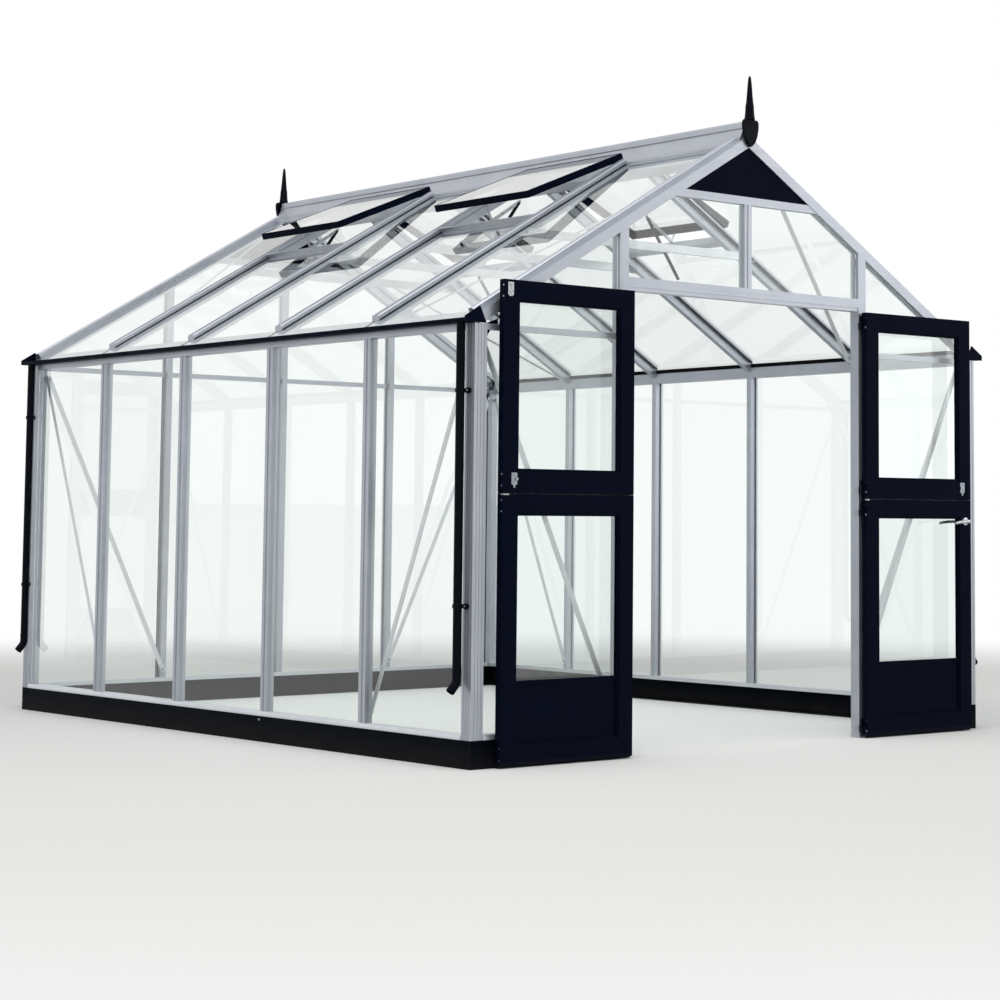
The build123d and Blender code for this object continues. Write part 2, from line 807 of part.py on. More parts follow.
def trimmer(k):
    """The hollow crossbar between two roof bars that the vent closes on."""
    y0 = -half_l + bay * k + bar_body / 2 + seat
    y1 = y0 + bay - bar_body - 2 * seat
    x0 = trimmer_x
    x1 = trimmer_x + trimmer_w * cos_p
    n1 = -glass_t - seat
    n0 = n1 - trimmer_h
    section = outline([(x0, roof_z(x0) + n0 / cos_p), (x1, roof_z(x1) + n0 / cos_p),
                       (x1, roof_z(x1) + n1 / cos_p), (x0, roof_z(x0) + n1 / cos_p)])
    section = section - offset(section, amount=-trimmer_wall, kind=Kind.INTERSECTION)
    return across_gable(section, y0, y1)


def link(p, q, w):
    """Outline of a flat bar of width w from p to q in X and Z."""
    long = math.dist(p, q)
    ux = (q[0] - p[0]) / long * w / 2
    uz = (q[1] - p[1]) / long * w / 2
    return [(p[0] - ux - uz, p[1] - uz + ux), (q[0] + ux - uz, q[1] + uz + ux),
            (q[0] + ux + uz, q[1] + uz - ux), (p[0] - ux + uz, p[1] - uz - ux)]


def opener(k, open_deg):
    """The vent's opener: an arm from a foot on the trimmer to the tube that hangs into the room,
    and a strut from the foot up to the vent's lower rail."""
    y = -half_l + bay * (k + 0.5)
    foot_x = trimmer_x + trimmer_lap / 2
    foot = (foot_x, roof_z(foot_x) + arm_w / 2)
    head_x = foot_x - opener_reach
    head = (head_x, roof_z(head_x) + opener_lift)
    strut_top = (foot_x + 110 * strut_lean, foot[1] + 110)
    y0 = y - arm_t / 2
    y1 = y + arm_t / 2
    arm = across_gable(link(foot, head, arm_w), y0, y1)
    strut = across_gable(link(foot, strut_top, arm_w), y0, y1)
    half_foot = trimmer_lap / 2 - 2
    pad = box(foot_x - half_foot, foot_x + half_foot, y0 - 4, y1 + 4, foot[1] - 20, foot[1])
    solid = arm + strut + pad
    lean = math.radians(opener_deg)
    down = (math.sin(lean), 0, -math.cos(lean))
    start = Vector(head[0], y, head[1]) - Vector(*down) * opener_r
    tube = extrude(Plane(origin=start, z_dir=down) * Circle(opener_r), amount=opener_len)
    above = extrude(vent_frame_plane(0, open_deg).offset(-seat)
                    * Rectangle(4 * vent_len, 4 * length), amount=200)
    below = slope_slice(foot_x - 40, foot_x + 40, -60, -glass_t)
    return (solid - above - below) + tube


# Braces
def brace(start, end, normal):
    """A flat bar from point to point, lying square to normal."""
    along = Vector(*end) - Vector(*start)
    plane = Plane(origin=start, x_dir=Vector(*normal).cross(along).normalized(),
                  z_dir=along.normalized())
    return extrude(plane * Rectangle(brace_w, brace_t), amount=along.length)


def collar_tie(k):
    """An aluminium angle across the roof beside the bars at post line k, on the side of the bay
    that has no vent, cut to the glass at both ends."""
    way = 1 if k in vent_bays else -1
    line = post_lines_y[k]
    y0 = line + way * (bar_body / 2 + seat)
    z0 = glass_apex_z - collar_drop - collar_h / 2
    upright = box(-half_w, half_w, y0, y0 + way * brace_t, z0, z0 + collar_h)
    flat = box(-half_w, half_w, y0, y0 + way * collar_w, z0, z0 + brace_t)
    under = slope_slice(0, half_w, -2 * collar_drop, -glass_t - 1)
    right = (upright + flat) & under
    return right + mirror_x([right])[0]


def make_braces():
    x = half_w - frame_in - brace_t / 2 - seat
    y = half_l - frame_in - brace_t / 2 - seat
    corner_top = eaves_z - 30
    foot = sill_top + 30
    inset = corner_size + brace_w / 2
    side = brace((x, -half_l + inset, corner_top), (x, post_lines_y[0], foot), (1, 0, 0))
    end = brace((half_w - inset, -y, corner_top), (jamb_x, -y, foot), (0, 1, 0))
    pair = [side, end] + mirror_x([side, end])
    save("wall_braces", pair + mirror_y(pair))
    depth = -roof_bar_depth - brace_t / 2 - seat
    x0 = ridge_half + 20
    x1 = half_w - eaves_depth - 30
    start = (x0, -half_l + rafter_w / 2, roof_z(x0) + depth / cos_p)
    end_point = (x1, post_lines_y[0], roof_z(x1) + depth / cos_p)
    roof = brace(start, end_point, (sin_p, 0, cos_p))
    roof_pair = [roof] + mirror_x([roof])
    ties = [collar_tie(k) for k in range(len(post_lines_y))]
    save("roof_braces", roof_pair + mirror_y(roof_pair) + ties)


# Doors, drawn closed on the right-hand side and then swung open
leaf_edge = jamb_inner_x - leaf_gap
hinge_x = leaf_edge + hinge_edge
hinge_y = -half_l - hinge_stand
hinge_zs = {
    "upper": [leaf_top_z - 45, leaf_split_z + 50],
    "lower": [leaf_split_z - 50, leaf_bottom_z + 45],
}


def leaf_frame(z0, z1, fill_z0, fill_t):
    """A door half: stiles and rails round one opening, with a step round the opening on both
    faces and a groove for the pane or panel."""
    y0 = hinge_y
    y1 = y0 + leaf_t
    x0 = leaf_gap + stile_w
    x1 = leaf_edge - stile_w
    top = z1 - rail_w
    whole = box(leaf_gap, leaf_edge, y0, y1, z0, z1)
    hole = box(x0, x1, y0 - 1, y1 + 1, fill_z0, top)
    b = bead_w
    front = box(x0 - b, x1 + b, y0 - 1, y0 + bead_d, fill_z0 - b, top + b)
    back = box(x0 - b, x1 + b, y1 - bead_d, y1 + 1, fill_z0 - b, top + b)
    g = groove_d
    mid = y0 + leaf_t / 2
    slot = fill_t / 2 + seat
    groove = box(x0 - g, x1 + g, mid - slot, mid + slot, fill_z0 - g, top + g)
    return whole - hole - front - back - groove


def leaf_fill(z0, z1, thick):
    """A flat pane or panel that reaches into the stiles' grooves."""
    reach = groove_d - seat
    mid = hinge_y + leaf_t / 2
    return box(leaf_gap + stile_w - reach, leaf_edge - stile_w + reach, mid - thick / 2,
               mid + thick / 2, z0, z1)


def hinge_leaf_side(z):
    """The moving half of a lift-off hinge: upper knuckle and plate on the leaf's edge."""
    tall = hinge_h / 2 - knuckle_gap
    low = z + knuckle_gap
    knuckle = Pos(hinge_x, hinge_y, low) * extrude(Circle(knuckle_r), amount=tall)
    plate = box(leaf_edge, leaf_edge + hinge_plate_t, hinge_y, hinge_y + hinge_plate_w,
                low, low + tall)
    return knuckle + plate


def hinge_jamb_side(z):
    """The fixed half of a hinge: lower knuckle and plate on the jamb's reveal."""
    x0 = jamb_inner_x - hinge_plate_t
    tall = hinge_h / 2 - knuckle_gap
    low = z - hinge_h / 2
    knuckle = Pos(hinge_x, hinge_y, low) * extrude(Circle(knuckle_r), amount=tall)
    outside = box(x0, jamb_inner_x, hinge_y, -half_l + 2, low, low + tall)
    inside = box(x0, jamb_inner_x - seat, -half_l + 1, -half_l + hinge_plate_w, low, low + tall)
    return knuckle + outside + inside


def swing(solids, side):
    """Turn closed right-hand leaf pieces to the open pose of one side."""
    if side == "left":
        solids = mirror_x(solids)
        axis = Axis((-hinge_x, hinge_y, 0), (0, 0, 1))
        return [solid.rotate(axis, -left_open_deg) for solid in solids]
    axis = Axis((hinge_x, hinge_y, 0), (0, 0, 1))
    return [solid.rotate(axis, right_open_deg) for solid in solids]


def door_handle():
    """Lever handle on both faces of the lower leaf's meeting stile."""
    x = leaf_gap + stile_w / 2
    z = leaf_split_z - 100
    rose = Pos(x, 0, z) * Rotation(90, 0, 0) * Cylinder(16, 8)
    neck = Pos(x, 0, z) * Rotation(90, 0, 0) * Cylinder(8, 36)
    parts = []
    for y, way in ((hinge_y, -1), (hinge_y + leaf_t, 1)):
        lever = box(x - 8, x + 100, y + way * 30, y + way * 42, z - 8, z + 8)
        parts.append(Pos(0, y + way * 4, 0) * rose + Pos(0, y + way * 18, 0) * neck + lever)
    return parts


def door_latches():
    """The bolt that ties the two halves of the right leaf together."""
    x = leaf_gap + 67
    y = hinge_y + leaf_t
    plate = box(x - 12, x + 12, y, y + 4, leaf_split_z + 26, leaf_split_z + 78)
    return [plate]


def make_doors():
    low = leaf_split_z - leaf_split_gap / 2
    high = leaf_split_z + leaf_split_gap / 2
    upper_z0 = high + rail_w + 6
    upper_z1 = leaf_top_z - rail_w
    lower_z0 = leaf_bottom_z + rail_w
    lower_z1 = low - rail_w
    upper = leaf_frame(high, leaf_top_z, upper_z0, glass_t)
    lower = leaf_frame(leaf_bottom_z, low, lower_z0, kick_t)
    for z in hinge_zs["upper"]:
        upper = upper + hinge_leaf_side(z)
    for z in hinge_zs["lower"]:
        lower = lower + hinge_leaf_side(z)
    reach = groove_d - seat
    kick = leaf_fill(lower_z0 - reach, kick_top_z - kick_cap_h / 2, kick_t)
    cap_y = hinge_y + (leaf_t - kick_cap_t) / 2
    cap = box(leaf_gap + stile_w + seat, leaf_edge - stile_w - seat, cap_y, cap_y + kick_cap_t,
              kick_top_z - kick_cap_h, kick_top_z)
    upper_pane = leaf_fill(upper_z0 - reach, upper_z1 + reach, glass_t)
    lower_pane = leaf_fill(kick_top_z + seat, lower_z1 + reach, glass_t)
    for side in ("left", "right"):
        save(f"door_{side}_upper_frame", swing([upper], side))
        save(f"door_{side}_upper_glass", swing([upper_pane], side))
        save(f"door_{side}_lower_frame", swing([lower], side))
        save(f"door_{side}_lower_glass", swing([lower_pane], side))
        save(f"door_{side}_kick_panel", swing([kick + cap], side))
    save("door_handle", swing(door_handle(), "right"))
    save("door_latches", swing(door_latches(), "right"))
    fixed = [hinge_jamb_side(z) for zs in hinge_zs.values() for z in zs]
    save("door_hinges", fixed + mirror_x(fixed))


def main():
    os.makedirs("parts", exist_ok=True)
    make_plinth()
    make_sills()
    make_corner_posts()
    make_wall_posts()
    make_gable_posts()
    make_head_and_ties()
    make_roof_bars()
    make_rafters()
    make_ridge()
    make_ridge_ends()
    make_eaves()
    make_gutters()
    make_downpipes()
    make_gable_panels()
    make_glass()
    make_vents()
    make_braces()
    make_doors()


main()
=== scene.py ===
import math

import bmesh
import bpy
from mathutils import Matrix, Vector


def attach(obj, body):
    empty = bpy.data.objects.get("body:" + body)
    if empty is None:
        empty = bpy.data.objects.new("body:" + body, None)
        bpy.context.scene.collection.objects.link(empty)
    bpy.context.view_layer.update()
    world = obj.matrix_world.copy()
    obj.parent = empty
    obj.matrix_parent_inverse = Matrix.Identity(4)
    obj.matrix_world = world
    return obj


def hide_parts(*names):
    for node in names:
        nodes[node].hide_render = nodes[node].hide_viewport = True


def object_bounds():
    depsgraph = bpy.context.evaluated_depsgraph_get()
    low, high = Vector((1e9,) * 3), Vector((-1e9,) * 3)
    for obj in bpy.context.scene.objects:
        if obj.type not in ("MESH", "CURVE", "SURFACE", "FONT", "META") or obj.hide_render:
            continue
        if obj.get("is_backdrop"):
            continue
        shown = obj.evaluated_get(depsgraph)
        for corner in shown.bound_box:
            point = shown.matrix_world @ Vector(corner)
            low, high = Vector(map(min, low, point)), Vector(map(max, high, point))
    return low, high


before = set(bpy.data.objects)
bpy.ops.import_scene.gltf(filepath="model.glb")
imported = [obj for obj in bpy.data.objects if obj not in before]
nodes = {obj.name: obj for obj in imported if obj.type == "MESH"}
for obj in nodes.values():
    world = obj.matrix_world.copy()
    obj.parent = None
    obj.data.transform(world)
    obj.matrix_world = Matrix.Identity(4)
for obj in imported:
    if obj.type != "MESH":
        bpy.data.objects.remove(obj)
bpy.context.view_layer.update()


# Plinth: a folded steel channel under every wall, in lengths that meet at mitred corners.
# Black powder coat, sprayed and baked: a fine orange-peel skin, and a little dried splash
# from the ground along its foot.
def hex_colour(code):
    """The linear colour of an sRGB hex value."""
    steps = [int(code[i:i + 2], 16) / 255 for i in (1, 3, 5)]
    return [s / 12.92 if s <= 0.04045 else ((s + 0.055) / 1.055) ** 2.4 for s in steps] + [1.0]


def add_node(tree, kind, sockets=None, **settings):
    """Adds a node: settings are its own options, and each socket gets a value or a link."""
    made = tree.nodes.new(kind)
    for name, value in settings.items():
        setattr(made, name, value)
    for name, value in (sockets or {}).items():
        if isinstance(value, bpy.types.NodeSocket):
            tree.links.new(value, made.inputs[name])
        else:
            made.inputs[name].default_value = value
    return made


def start_finish(name):
    finish = bpy.data.materials.new(name)
    finish.use_nodes = True
    finish.node_tree.nodes.clear()
    return finish, finish.node_tree


def powder_coat(name, colour, splash):
    """Baked powder on steel or aluminium. The peel is about 1 mm across on the real skin, drawn
    at 5 mm so that it shows; splash is the height in metres that dried dirt reaches."""
    finish, tree = start_finish(name)
    place = add_node(tree, "ShaderNodeTexCoord").outputs["Object"]
    peel = add_node(tree, "ShaderNodeTexNoise", {"Vector": place, "Scale": 200.0, "Detail": 2.0})
    cloud = add_node(tree, "ShaderNodeTexNoise", {"Vector": place, "Scale": 9.0, "Detail": 4.0})
    height = add_node(tree, "ShaderNodeSeparateXYZ", {"Vector": place}).outputs["Z"]
    foot = add_node(tree, "ShaderNodeMapRange", {
        "Value": height, "From Min": 0.0, "From Max": splash, "To Min": 0.12, "To Max": 0.0})
    dirt = add_node(tree, "ShaderNodeMath", {0: foot.outputs[0], 1: cloud.outputs[0]},
                    operation="MULTIPLY")
    tone = add_node(tree, "ShaderNodeMix", {
        "Factor": dirt.outputs[0], 6: hex_colour(colour), 7: hex_colour("#6E675A")},
        data_type="RGBA")
    shine = add_node(tree, "ShaderNodeMapRange", {
        "Value": cloud.outputs[0], "From Min": 0.3, "From Max": 0.7, "To Min": 0.42,
        "To Max": 0.56})
    skin = add_node(tree, "ShaderNodeBump", {
        "Height": peel.outputs[0], "Strength": 0.12, "Distance": 0.001})
    body = add_node(tree, "ShaderNodeBsdfPrincipled", {
        "Base Color": tone.outputs[2], "Roughness": shine.outputs[0],
        "Normal": skin.outputs[0], "IOR": 1.5, "Specular IOR Level": 0.025})
    add_node(tree, "ShaderNodeOutputMaterial", {"Surface": body.outputs[0]})
    return finish


def wear(finish, *names):
    """Gives CAD nodes their finish."""
    for name in names:
        nodes[name].data.materials.clear()
        nodes[name].data.materials.append(finish)


def plated(name, colour, rough):
    """Zinc plating on steel: bright, with the faint cells in which zinc sets, about 8 mm wide."""
    finish, tree = start_finish(name)
    place = add_node(tree, "ShaderNodeTexCoord").outputs["Object"]
    spangle = add_node(tree, "ShaderNodeTexVoronoi", {"Vector": place, "Scale": 120.0})
    shine = add_node(tree, "ShaderNodeMapRange", {
        "Value": spangle.outputs["Distance"], "From Min": 0.0, "From Max": 0.8,
        "To Min": rough, "To Max": rough + 0.12})
    tone = add_node(tree, "ShaderNodeMix", {
        "Factor": spangle.outputs["Distance"], 6: hex_colour(colour), 7: hex_colour("#8E949B")},
        data_type="RGBA")
    body = add_node(tree, "ShaderNodeBsdfPrincipled", {
        "Base Color": tone.outputs[2], "Metallic": 1.0, "Roughness": shine.outputs[0]})
    add_node(tree, "ShaderNodeOutputMaterial", {"Surface": body.outputs[0]})
    return finish


def fastener_tree():
    """Turns points into screw or bolt heads. Each point's facing attribute is the way its head
    looks; a head is a washer, a body with flat or round sides and a chamfered top."""
    tree = bpy.data.node_groups.new("fastener_heads", "GeometryNodeTree")
    for label, kind, value in (("Width", "NodeSocketFloat", 0.01),
                               ("Height", "NodeSocketFloat", 0.006),
                               ("Washer", "NodeSocketFloat", 0.016),
                               ("Sides", "NodeSocketInt", 6),
                               ("Finish", "NodeSocketMaterial", None)):
        if label == "Width":
            tree.interface.new_socket("Points", in_out="INPUT",
                                      socket_type="NodeSocketGeometry")
        made = tree.interface.new_socket(label, in_out="INPUT", socket_type=kind)
        if value is not None:
            made.default_value = value
    tree.interface.new_socket("Heads", in_out="OUTPUT", socket_type="NodeSocketGeometry")
    given = add_node(tree, "NodeGroupInput").outputs
    half = add_node(tree, "ShaderNodeMath", {0: given["Width"], 1: 0.5}, operation="MULTIPLY")
    rim = add_node(tree, "ShaderNodeMath", {0: given["Washer"], 1: 0.5}, operation="MULTIPLY")
    tall = add_node(tree, "ShaderNodeMath", {0: given["Height"], 1: 0.62}, operation="MULTIPLY")
    crown = add_node(tree, "ShaderNodeMath", {0: given["Height"], 1: 0.2}, operation="MULTIPLY")
    plate = add_node(tree, "ShaderNodeMath", {0: given["Height"], 1: 0.18}, operation="MULTIPLY")
    inner = add_node(tree, "ShaderNodeMath", {0: half.outputs[0], 1: 0.74}, operation="MULTIPLY")
    washer = add_node(tree, "GeometryNodeMeshCone", {
        "Vertices": 16, "Radius Top": rim.outputs[0], "Radius Bottom": rim.outputs[0],
        "Depth": plate.outputs[0]})
    head = add_node(tree, "GeometryNodeMeshCone", {
        "Vertices": given["Sides"], "Radius Top": half.outputs[0],
        "Radius Bottom": half.outputs[0], "Depth": tall.outputs[0]})
    top = add_node(tree, "GeometryNodeMeshCone", {
        "Vertices": given["Sides"], "Radius Top": inner.outputs[0],
        "Radius Bottom": half.outputs[0], "Depth": crown.outputs[0]})
    lift = add_node(tree, "ShaderNodeCombineXYZ", {"Z": plate.outputs[0]})
    head = add_node(tree, "GeometryNodeTransform", {
        "Geometry": head.outputs["Mesh"], "Translation": lift.outputs[0]})
    level = add_node(tree, "ShaderNodeMath", {0: plate.outputs[0], 1: tall.outputs[0]},
                     operation="ADD")
    lift = add_node(tree, "ShaderNodeCombineXYZ", {"Z": level.outputs[0]})
    top = add_node(tree, "GeometryNodeTransform", {
        "Geometry": top.outputs["Mesh"], "Translation": lift.outputs[0]})
    whole = add_node(tree, "GeometryNodeJoinGeometry")
    for part in (washer.outputs["Mesh"], head.outputs["Geometry"], top.outputs["Geometry"]):
        tree.links.new(part, whole.inputs[0])
    facing = add_node(tree, "GeometryNodeInputNamedAttribute", {"Name": "facing"},
                      data_type="FLOAT_VECTOR")
    aimed = add_node(tree, "FunctionNodeAlignRotationToVector", {
        "Vector": facing.outputs["Attribute"]}, axis="Z")
    spread = add_node(tree, "GeometryNodeInstanceOnPoints", {
        "Points": given["Points"], "Instance": whole.outputs[0],
        "Rotation": aimed.outputs["Rotation"]})
    twist = add_node(tree, "FunctionNodeRandomValue", {"Seed": 7}, data_type="FLOAT")
    twist.inputs["Max"].default_value = 6.28
    about = add_node(tree, "ShaderNodeCombineXYZ", {"Z": twist.outputs[1]})
    turned = add_node(tree, "GeometryNodeRotateInstances", {
        "Instances": spread.outputs[0], "Rotation": about.outputs[0]})
    solid = add_node(tree, "GeometryNodeRealizeInstances", {"Geometry": turned.outputs[0]})
    coated = add_node(tree, "GeometryNodeSetMaterial", {
        "Geometry": solid.outputs[0], "Material": given["Finish"]})
    add_node(tree, "NodeGroupOutput", {"Heads": coated.outputs[0]})
    return tree


heads = fastener_tree()


def fasten(name, places, size, finish, body):
    """Screw or bolt heads of one kind on one body: places are pairs of a point and the way that
    the head faces, and size is the head's width and height, its washer's width and its sides."""
    mesh = bpy.data.meshes.new(name)
    mesh.from_pydata([point for point, facing in places], [], [])
    way = mesh.attributes.new("facing", "FLOAT_VECTOR", "POINT")
    for spot, (point, facing) in zip(way.data, places):
        spot.vector = facing
    piece = bpy.data.objects.new(name, mesh)
    bpy.context.scene.collection.objects.link(piece)
    maker = piece.modifiers.new("heads", "NODES")
    maker.node_group = heads
    values = dict(zip(("Width", "Height", "Washer", "Sides"), size), Finish=finish)
    for item in heads.interface.items_tree:
        if item.in_out == "INPUT" and item.name in values:
            maker[item.identifier] = values[item.name]
    seen = bpy.context.evaluated_depsgraph_get()
    made = bpy.data.meshes.new_from_object(piece.evaluated_get(seen))
    piece.modifiers.clear()
    piece.data = made
    made.name = name
    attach(piece, body)


# The glass lines of the two gables, the middle between them, and the width of a bay.
front, back, middle_y = -1.799, 1.881, 0.041
bay = 0.736


def at_end(y, end):
    """A place along the house, kept at the front or carried to the back."""
    return middle_y + end * (y - middle_y)


def four_ways(places):
    """The same places on the other side and at the other end of the house."""
    return [((side * x, at_end(y, end), z), (side * fx, end * fy, fz))
            for (x, y, z), (fx, fy, fz) in places for side in (1, -1) for end in (1, -1)]


plinth_coat = powder_coat("black_powder_coat_plinth", "#050912", 0.09)
wear(plinth_coat, "plinth_left", "plinth_right", "plinth_front", "plinth_back")
zinc = plated("zinc_plated_steel", "#C9CCCE", 0.24)
plinth_bolt = (0.008, 0.004, 0.011, 12)
plinth_side, plinth_front = 1.4797, front + 0.0003
seam_y = front + 2 * bay
plinth_bolts = [((side * plinth_side, seam_y + 0.020, 0.094), (side, 0, 0)) for side in (1, -1)]
fasten("plinth_bolts", plinth_bolts, plinth_bolt, zinc, "house")
coated_bolts = [((side * plinth_side, seam_y + gap, z), (side, 0, 0)) for side in (1, -1)
                for gap, z in ((0.020, 0.026), (-0.022, 0.094), (-0.022, 0.026))]
coated_bolts += four_ways([(spot + (z,), facing)
                           for spot, facing in (((plinth_side, front + 0.030), (1, 0, 0)),
                                                ((1.452, plinth_front), (0, -1, 0)))
                           for z in (0.086, 0.028)])
fasten("plinth_coated_bolts", coated_bolts, plinth_bolt, plinth_coat, "house")


# Upright extrusions: corner posts, wall posts, gable posts and door jambs. Extruded
# aluminium, satin anodised: silver grey, with faint lines that the die leaves along them.
def anodised(name, across, turn, dark="#A5AAB3", light="#BCC0C8"):
    """Anodised extrusion. Die lines are about 0.3 mm apart on the real bar and drawn at 4 mm so
    that they show; across scales the pattern so that it is long in one direction, and turn
    folds both roof slopes into one."""
    finish, tree = start_finish(name)
    place = add_node(tree, "ShaderNodeTexCoord").outputs["Object"]
    if turn:
        apart = add_node(tree, "ShaderNodeSeparateXYZ", {"Vector": place})
        side = add_node(tree, "ShaderNodeMath", {0: apart.outputs["X"]}, operation="ABSOLUTE")
        place = add_node(tree, "ShaderNodeCombineXYZ", {
            "X": side.outputs[0], "Y": apart.outputs["Y"], "Z": apart.outputs["Z"]}).outputs[0]
    laid = add_node(tree, "ShaderNodeMapping", {
        "Vector": place, "Rotation": (0.0, turn, 0.0), "Scale": across})
    lines = add_node(tree, "ShaderNodeTexNoise", {
        "Vector": laid.outputs[0], "Scale": 1.0, "Detail": 3.0, "Roughness": 0.6})
    stain = add_node(tree, "ShaderNodeTexNoise", {"Vector": place, "Scale": 6.0, "Detail": 5.0})
    tone = add_node(tree, "ShaderNodeMix", {
        "Factor": stain.outputs[0], 6: hex_colour(dark), 7: hex_colour(light)},
        data_type="RGBA")
    shine = add_node(tree, "ShaderNodeMapRange", {
        "Value": lines.outputs[0], "From Min": 0.3, "From Max": 0.7, "To Min": 0.3,
        "To Max": 0.46})
    grain = add_node(tree, "ShaderNodeBump", {
        "Height": lines.outputs[0], "Strength": 0.1, "Distance": 0.0005})
    body = add_node(tree, "ShaderNodeBsdfPrincipled", {
        "Base Color": tone.outputs[2], "Metallic": 0.8, "Roughness": shine.outputs[0],
        "Normal": grain.outputs[0]})
    add_node(tree, "ShaderNodeOutputMaterial", {"Surface": body.outputs[0]})
    return finish


upright_metal = anodised("anodised_aluminium_upright", (250.0, 250.0, 2.0), 0.0)
wear(upright_metal, "corner_posts", "wall_posts", "gable_posts", "door_jambs")


# Level extrusions: the ties at eaves height, the door head, eaves rails, panel rails and the
# ridge. The same anodised aluminium with its die lines lying level, and the same in a brighter
# tone for the sill rails on the plinth. That brighter tone is painted highlight: the sills have
# the same finish and are only drawn as though catching more light.
level_metal = anodised("anodised_aluminium_level", (2.0, 2.0, 250.0), 0.0)
wear(level_metal, "gable_ties", "door_head", "eaves_rails", "gable_panel_rails", "ridge_beam")
# The sill rails' lighter colours are painted highlight on the same anodised finish.
sill_metal_painted_highlight = anodised("anodised_aluminium_sill_painted_highlight", (2.0, 2.0, 250.0), 0.0, "#C9CDD3", "#DADDE2")
wear(sill_metal_painted_highlight, "sill_rails")


# Sloping extrusions: gable rafters and roof bars. The same aluminium, its lines running down
# both slopes of the roof.
roof_slope = 0.59
roof_pitch = math.atan(roof_slope)
slope_metal = anodised("anodised_aluminium_sloping", (2.0, 250.0, 250.0), -roof_pitch)
wear(slope_metal, "gable_rafters", "roof_bars")


# Braces: bright flat aluminium strips across the corners of the walls and the roof ends, and
# angles that tie the roof bars. Each end is held by a bolt with a hexagonal nut, zinc plated.
def brace_bolts(top, foot, facing):
    """The bolts of one brace, 14 mm in from its ends."""
    inset = (Vector(foot) - Vector(top)).normalized() * 0.014
    return [(tuple(Vector(top) + inset), facing), (tuple(Vector(foot) - inset), facing)]


brace_metal = anodised("bright_aluminium_strip", (40.0, 40.0, 40.0), 0.0, "#CFD2D6", "#E0E2E5")
wear(brace_metal, "wall_braces", "roof_braces")
brace_top, brace_foot = 1.665, 0.160
wall_x, gable_y = 1.4252, front + 0.0548
nuts = four_ways(brace_bolts((wall_x, front + 0.072, brace_top), (wall_x, front + bay, brace_foot),
                             (-1, 0, 0)))
nuts += four_ways(brace_bolts((1.408, gable_y, brace_top), (0.712, gable_y, brace_foot),
                              (0, 1, 0)))
for k in range(4):
    way = 1 if k % 2 else -1
    y = front + bay * (k + 1) + way * 0.0183
    nuts += [((side * 0.655, y, 2.205), (0, way, 0)) for side in (1, -1)]
fasten("brace_nuts", nuts, (0.011, 0.008, 0.016, 6), zinc, "house")


# Gable tops, gutters and gussets: black powder-coated aluminium. The gable's top is a sheet,
# the gutter an extrusion with cast end pieces, and a thin gusset stiffens each corner post's
# joint with its tie and rafter.
def place_piece(name, form, finish, body, replaced=()):
    """Makes a finished mesh a piece of the object, with its finish, on its body, and hides the
    CAD nodes that it replaces.
    """
    bmesh.ops.recalc_face_normals(form, faces=form.faces)
    mesh = bpy.data.meshes.new(name)
    form.to_mesh(mesh)
    form.free()
    mesh.materials.append(finish)
    mesh.shade_smooth()
    mesh.set_sharp_from_angle(angle=math.radians(32))
    piece = bpy.data.objects.new(name, mesh)
    bpy.context.scene.collection.objects.link(piece)
    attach(piece, body)
    if replaced:
        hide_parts(*replaced)


def add_plate(form, outline, thickness, bevel=0.0):
    """A plate: the outline's points carried along the thickness vector, its edges eased."""
    low = [form.verts.new(point) for point in outline]
    high = [form.verts.new(Vector(point) + Vector(thickness)) for point in outline]
    faces = [form.faces.new(low), form.faces.new(high[::-1])]
    for i in range(len(low)):
        j = (i + 1) % len(low)
        faces.append(form.faces.new((low[j], low[i], high[i], high[j])))
    if bevel:
        edges = list({edge for face in faces for edge in face.edges})
        bmesh.ops.bevel(form, geom=edges, offset=bevel, segments=2, affect="EDGES",
                        clamp_overlap=True)


def add_block(form, low, high, bevel=0.0):
    """A square bar or block between two corners."""
    (x0, y0, z0), (x1, y1, z1) = low, high
    add_plate(form, [(x0, y0, z0), (x1, y0, z0), (x1, y1, z0), (x0, y1, z0)],
              (0, 0, z1 - z0), bevel)


frame_coat = powder_coat("black_powder_coat_frame", "#050B1C", 0.03)
wear(frame_coat, "gable_panels", "gutters", "vent_frames")
gussets = bmesh.new()
over_tie = ((1.420, 1.7195), (1.362, 1.7195), (1.362, 1.742), (1.420, 1.712))
under_tie = ((1.420, 1.695), (1.398, 1.695), (1.420, 1.661))
for side in (1, -1):
    for end in (1, -1):
        y = at_end(front + 0.008, end)
        for shape in (over_tie, under_tie):
            add_plate(gussets, [(side * x, y, z) for x, z in shape], (0, end * 0.005, 0), 0.0006)
place_piece("corner_gussets", gussets, frame_coat, "house")


# Panes: clear toughened glass 4 mm thick, cut and polished, faintly green. Black rubber strips
# lie along the roof bars, on the eaves rail and at the edges of the gables' outer panes. The
# strips along the roof bars are drawn 10 mm wide, wider than the gasket, so they are part rubber
# and part painted shade of the bars' shadowed sides under the glass.
def clear_glass(name, tint, shade):
    """Toughened glass, flat to the eye, with the faint waves of the toughening rollers about
    300 mm apart. Light for shadows goes straight through it, a little weakened."""
    finish, tree = start_finish(name)
    place = add_node(tree, "ShaderNodeTexCoord").outputs["Object"]
    waves = add_node(tree, "ShaderNodeTexNoise", {"Vector": place, "Scale": 3.3, "Detail": 0.0})
    ripple = add_node(tree, "ShaderNodeBump", {
        "Height": waves.outputs[0], "Strength": 0.12, "Distance": 0.001})
    pane = add_node(tree, "ShaderNodeBsdfPrincipled", {
        "Base Color": hex_colour(tint), "Roughness": 0.0, "IOR": 1.52,
        "Normal": ripple.outputs[0], "Transmission Weight": 1.0})
    through = add_node(tree, "ShaderNodeBsdfTransparent", {"Color": hex_colour(shade)})
    ray = add_node(tree, "ShaderNodeLightPath")
    both = add_node(tree, "ShaderNodeMixShader", {
        0: ray.outputs["Is Shadow Ray"], 1: pane.outputs[0], 2: through.outputs[0]})
    add_node(tree, "ShaderNodeOutputMaterial", {"Surface": both.outputs[0]})
    return finish


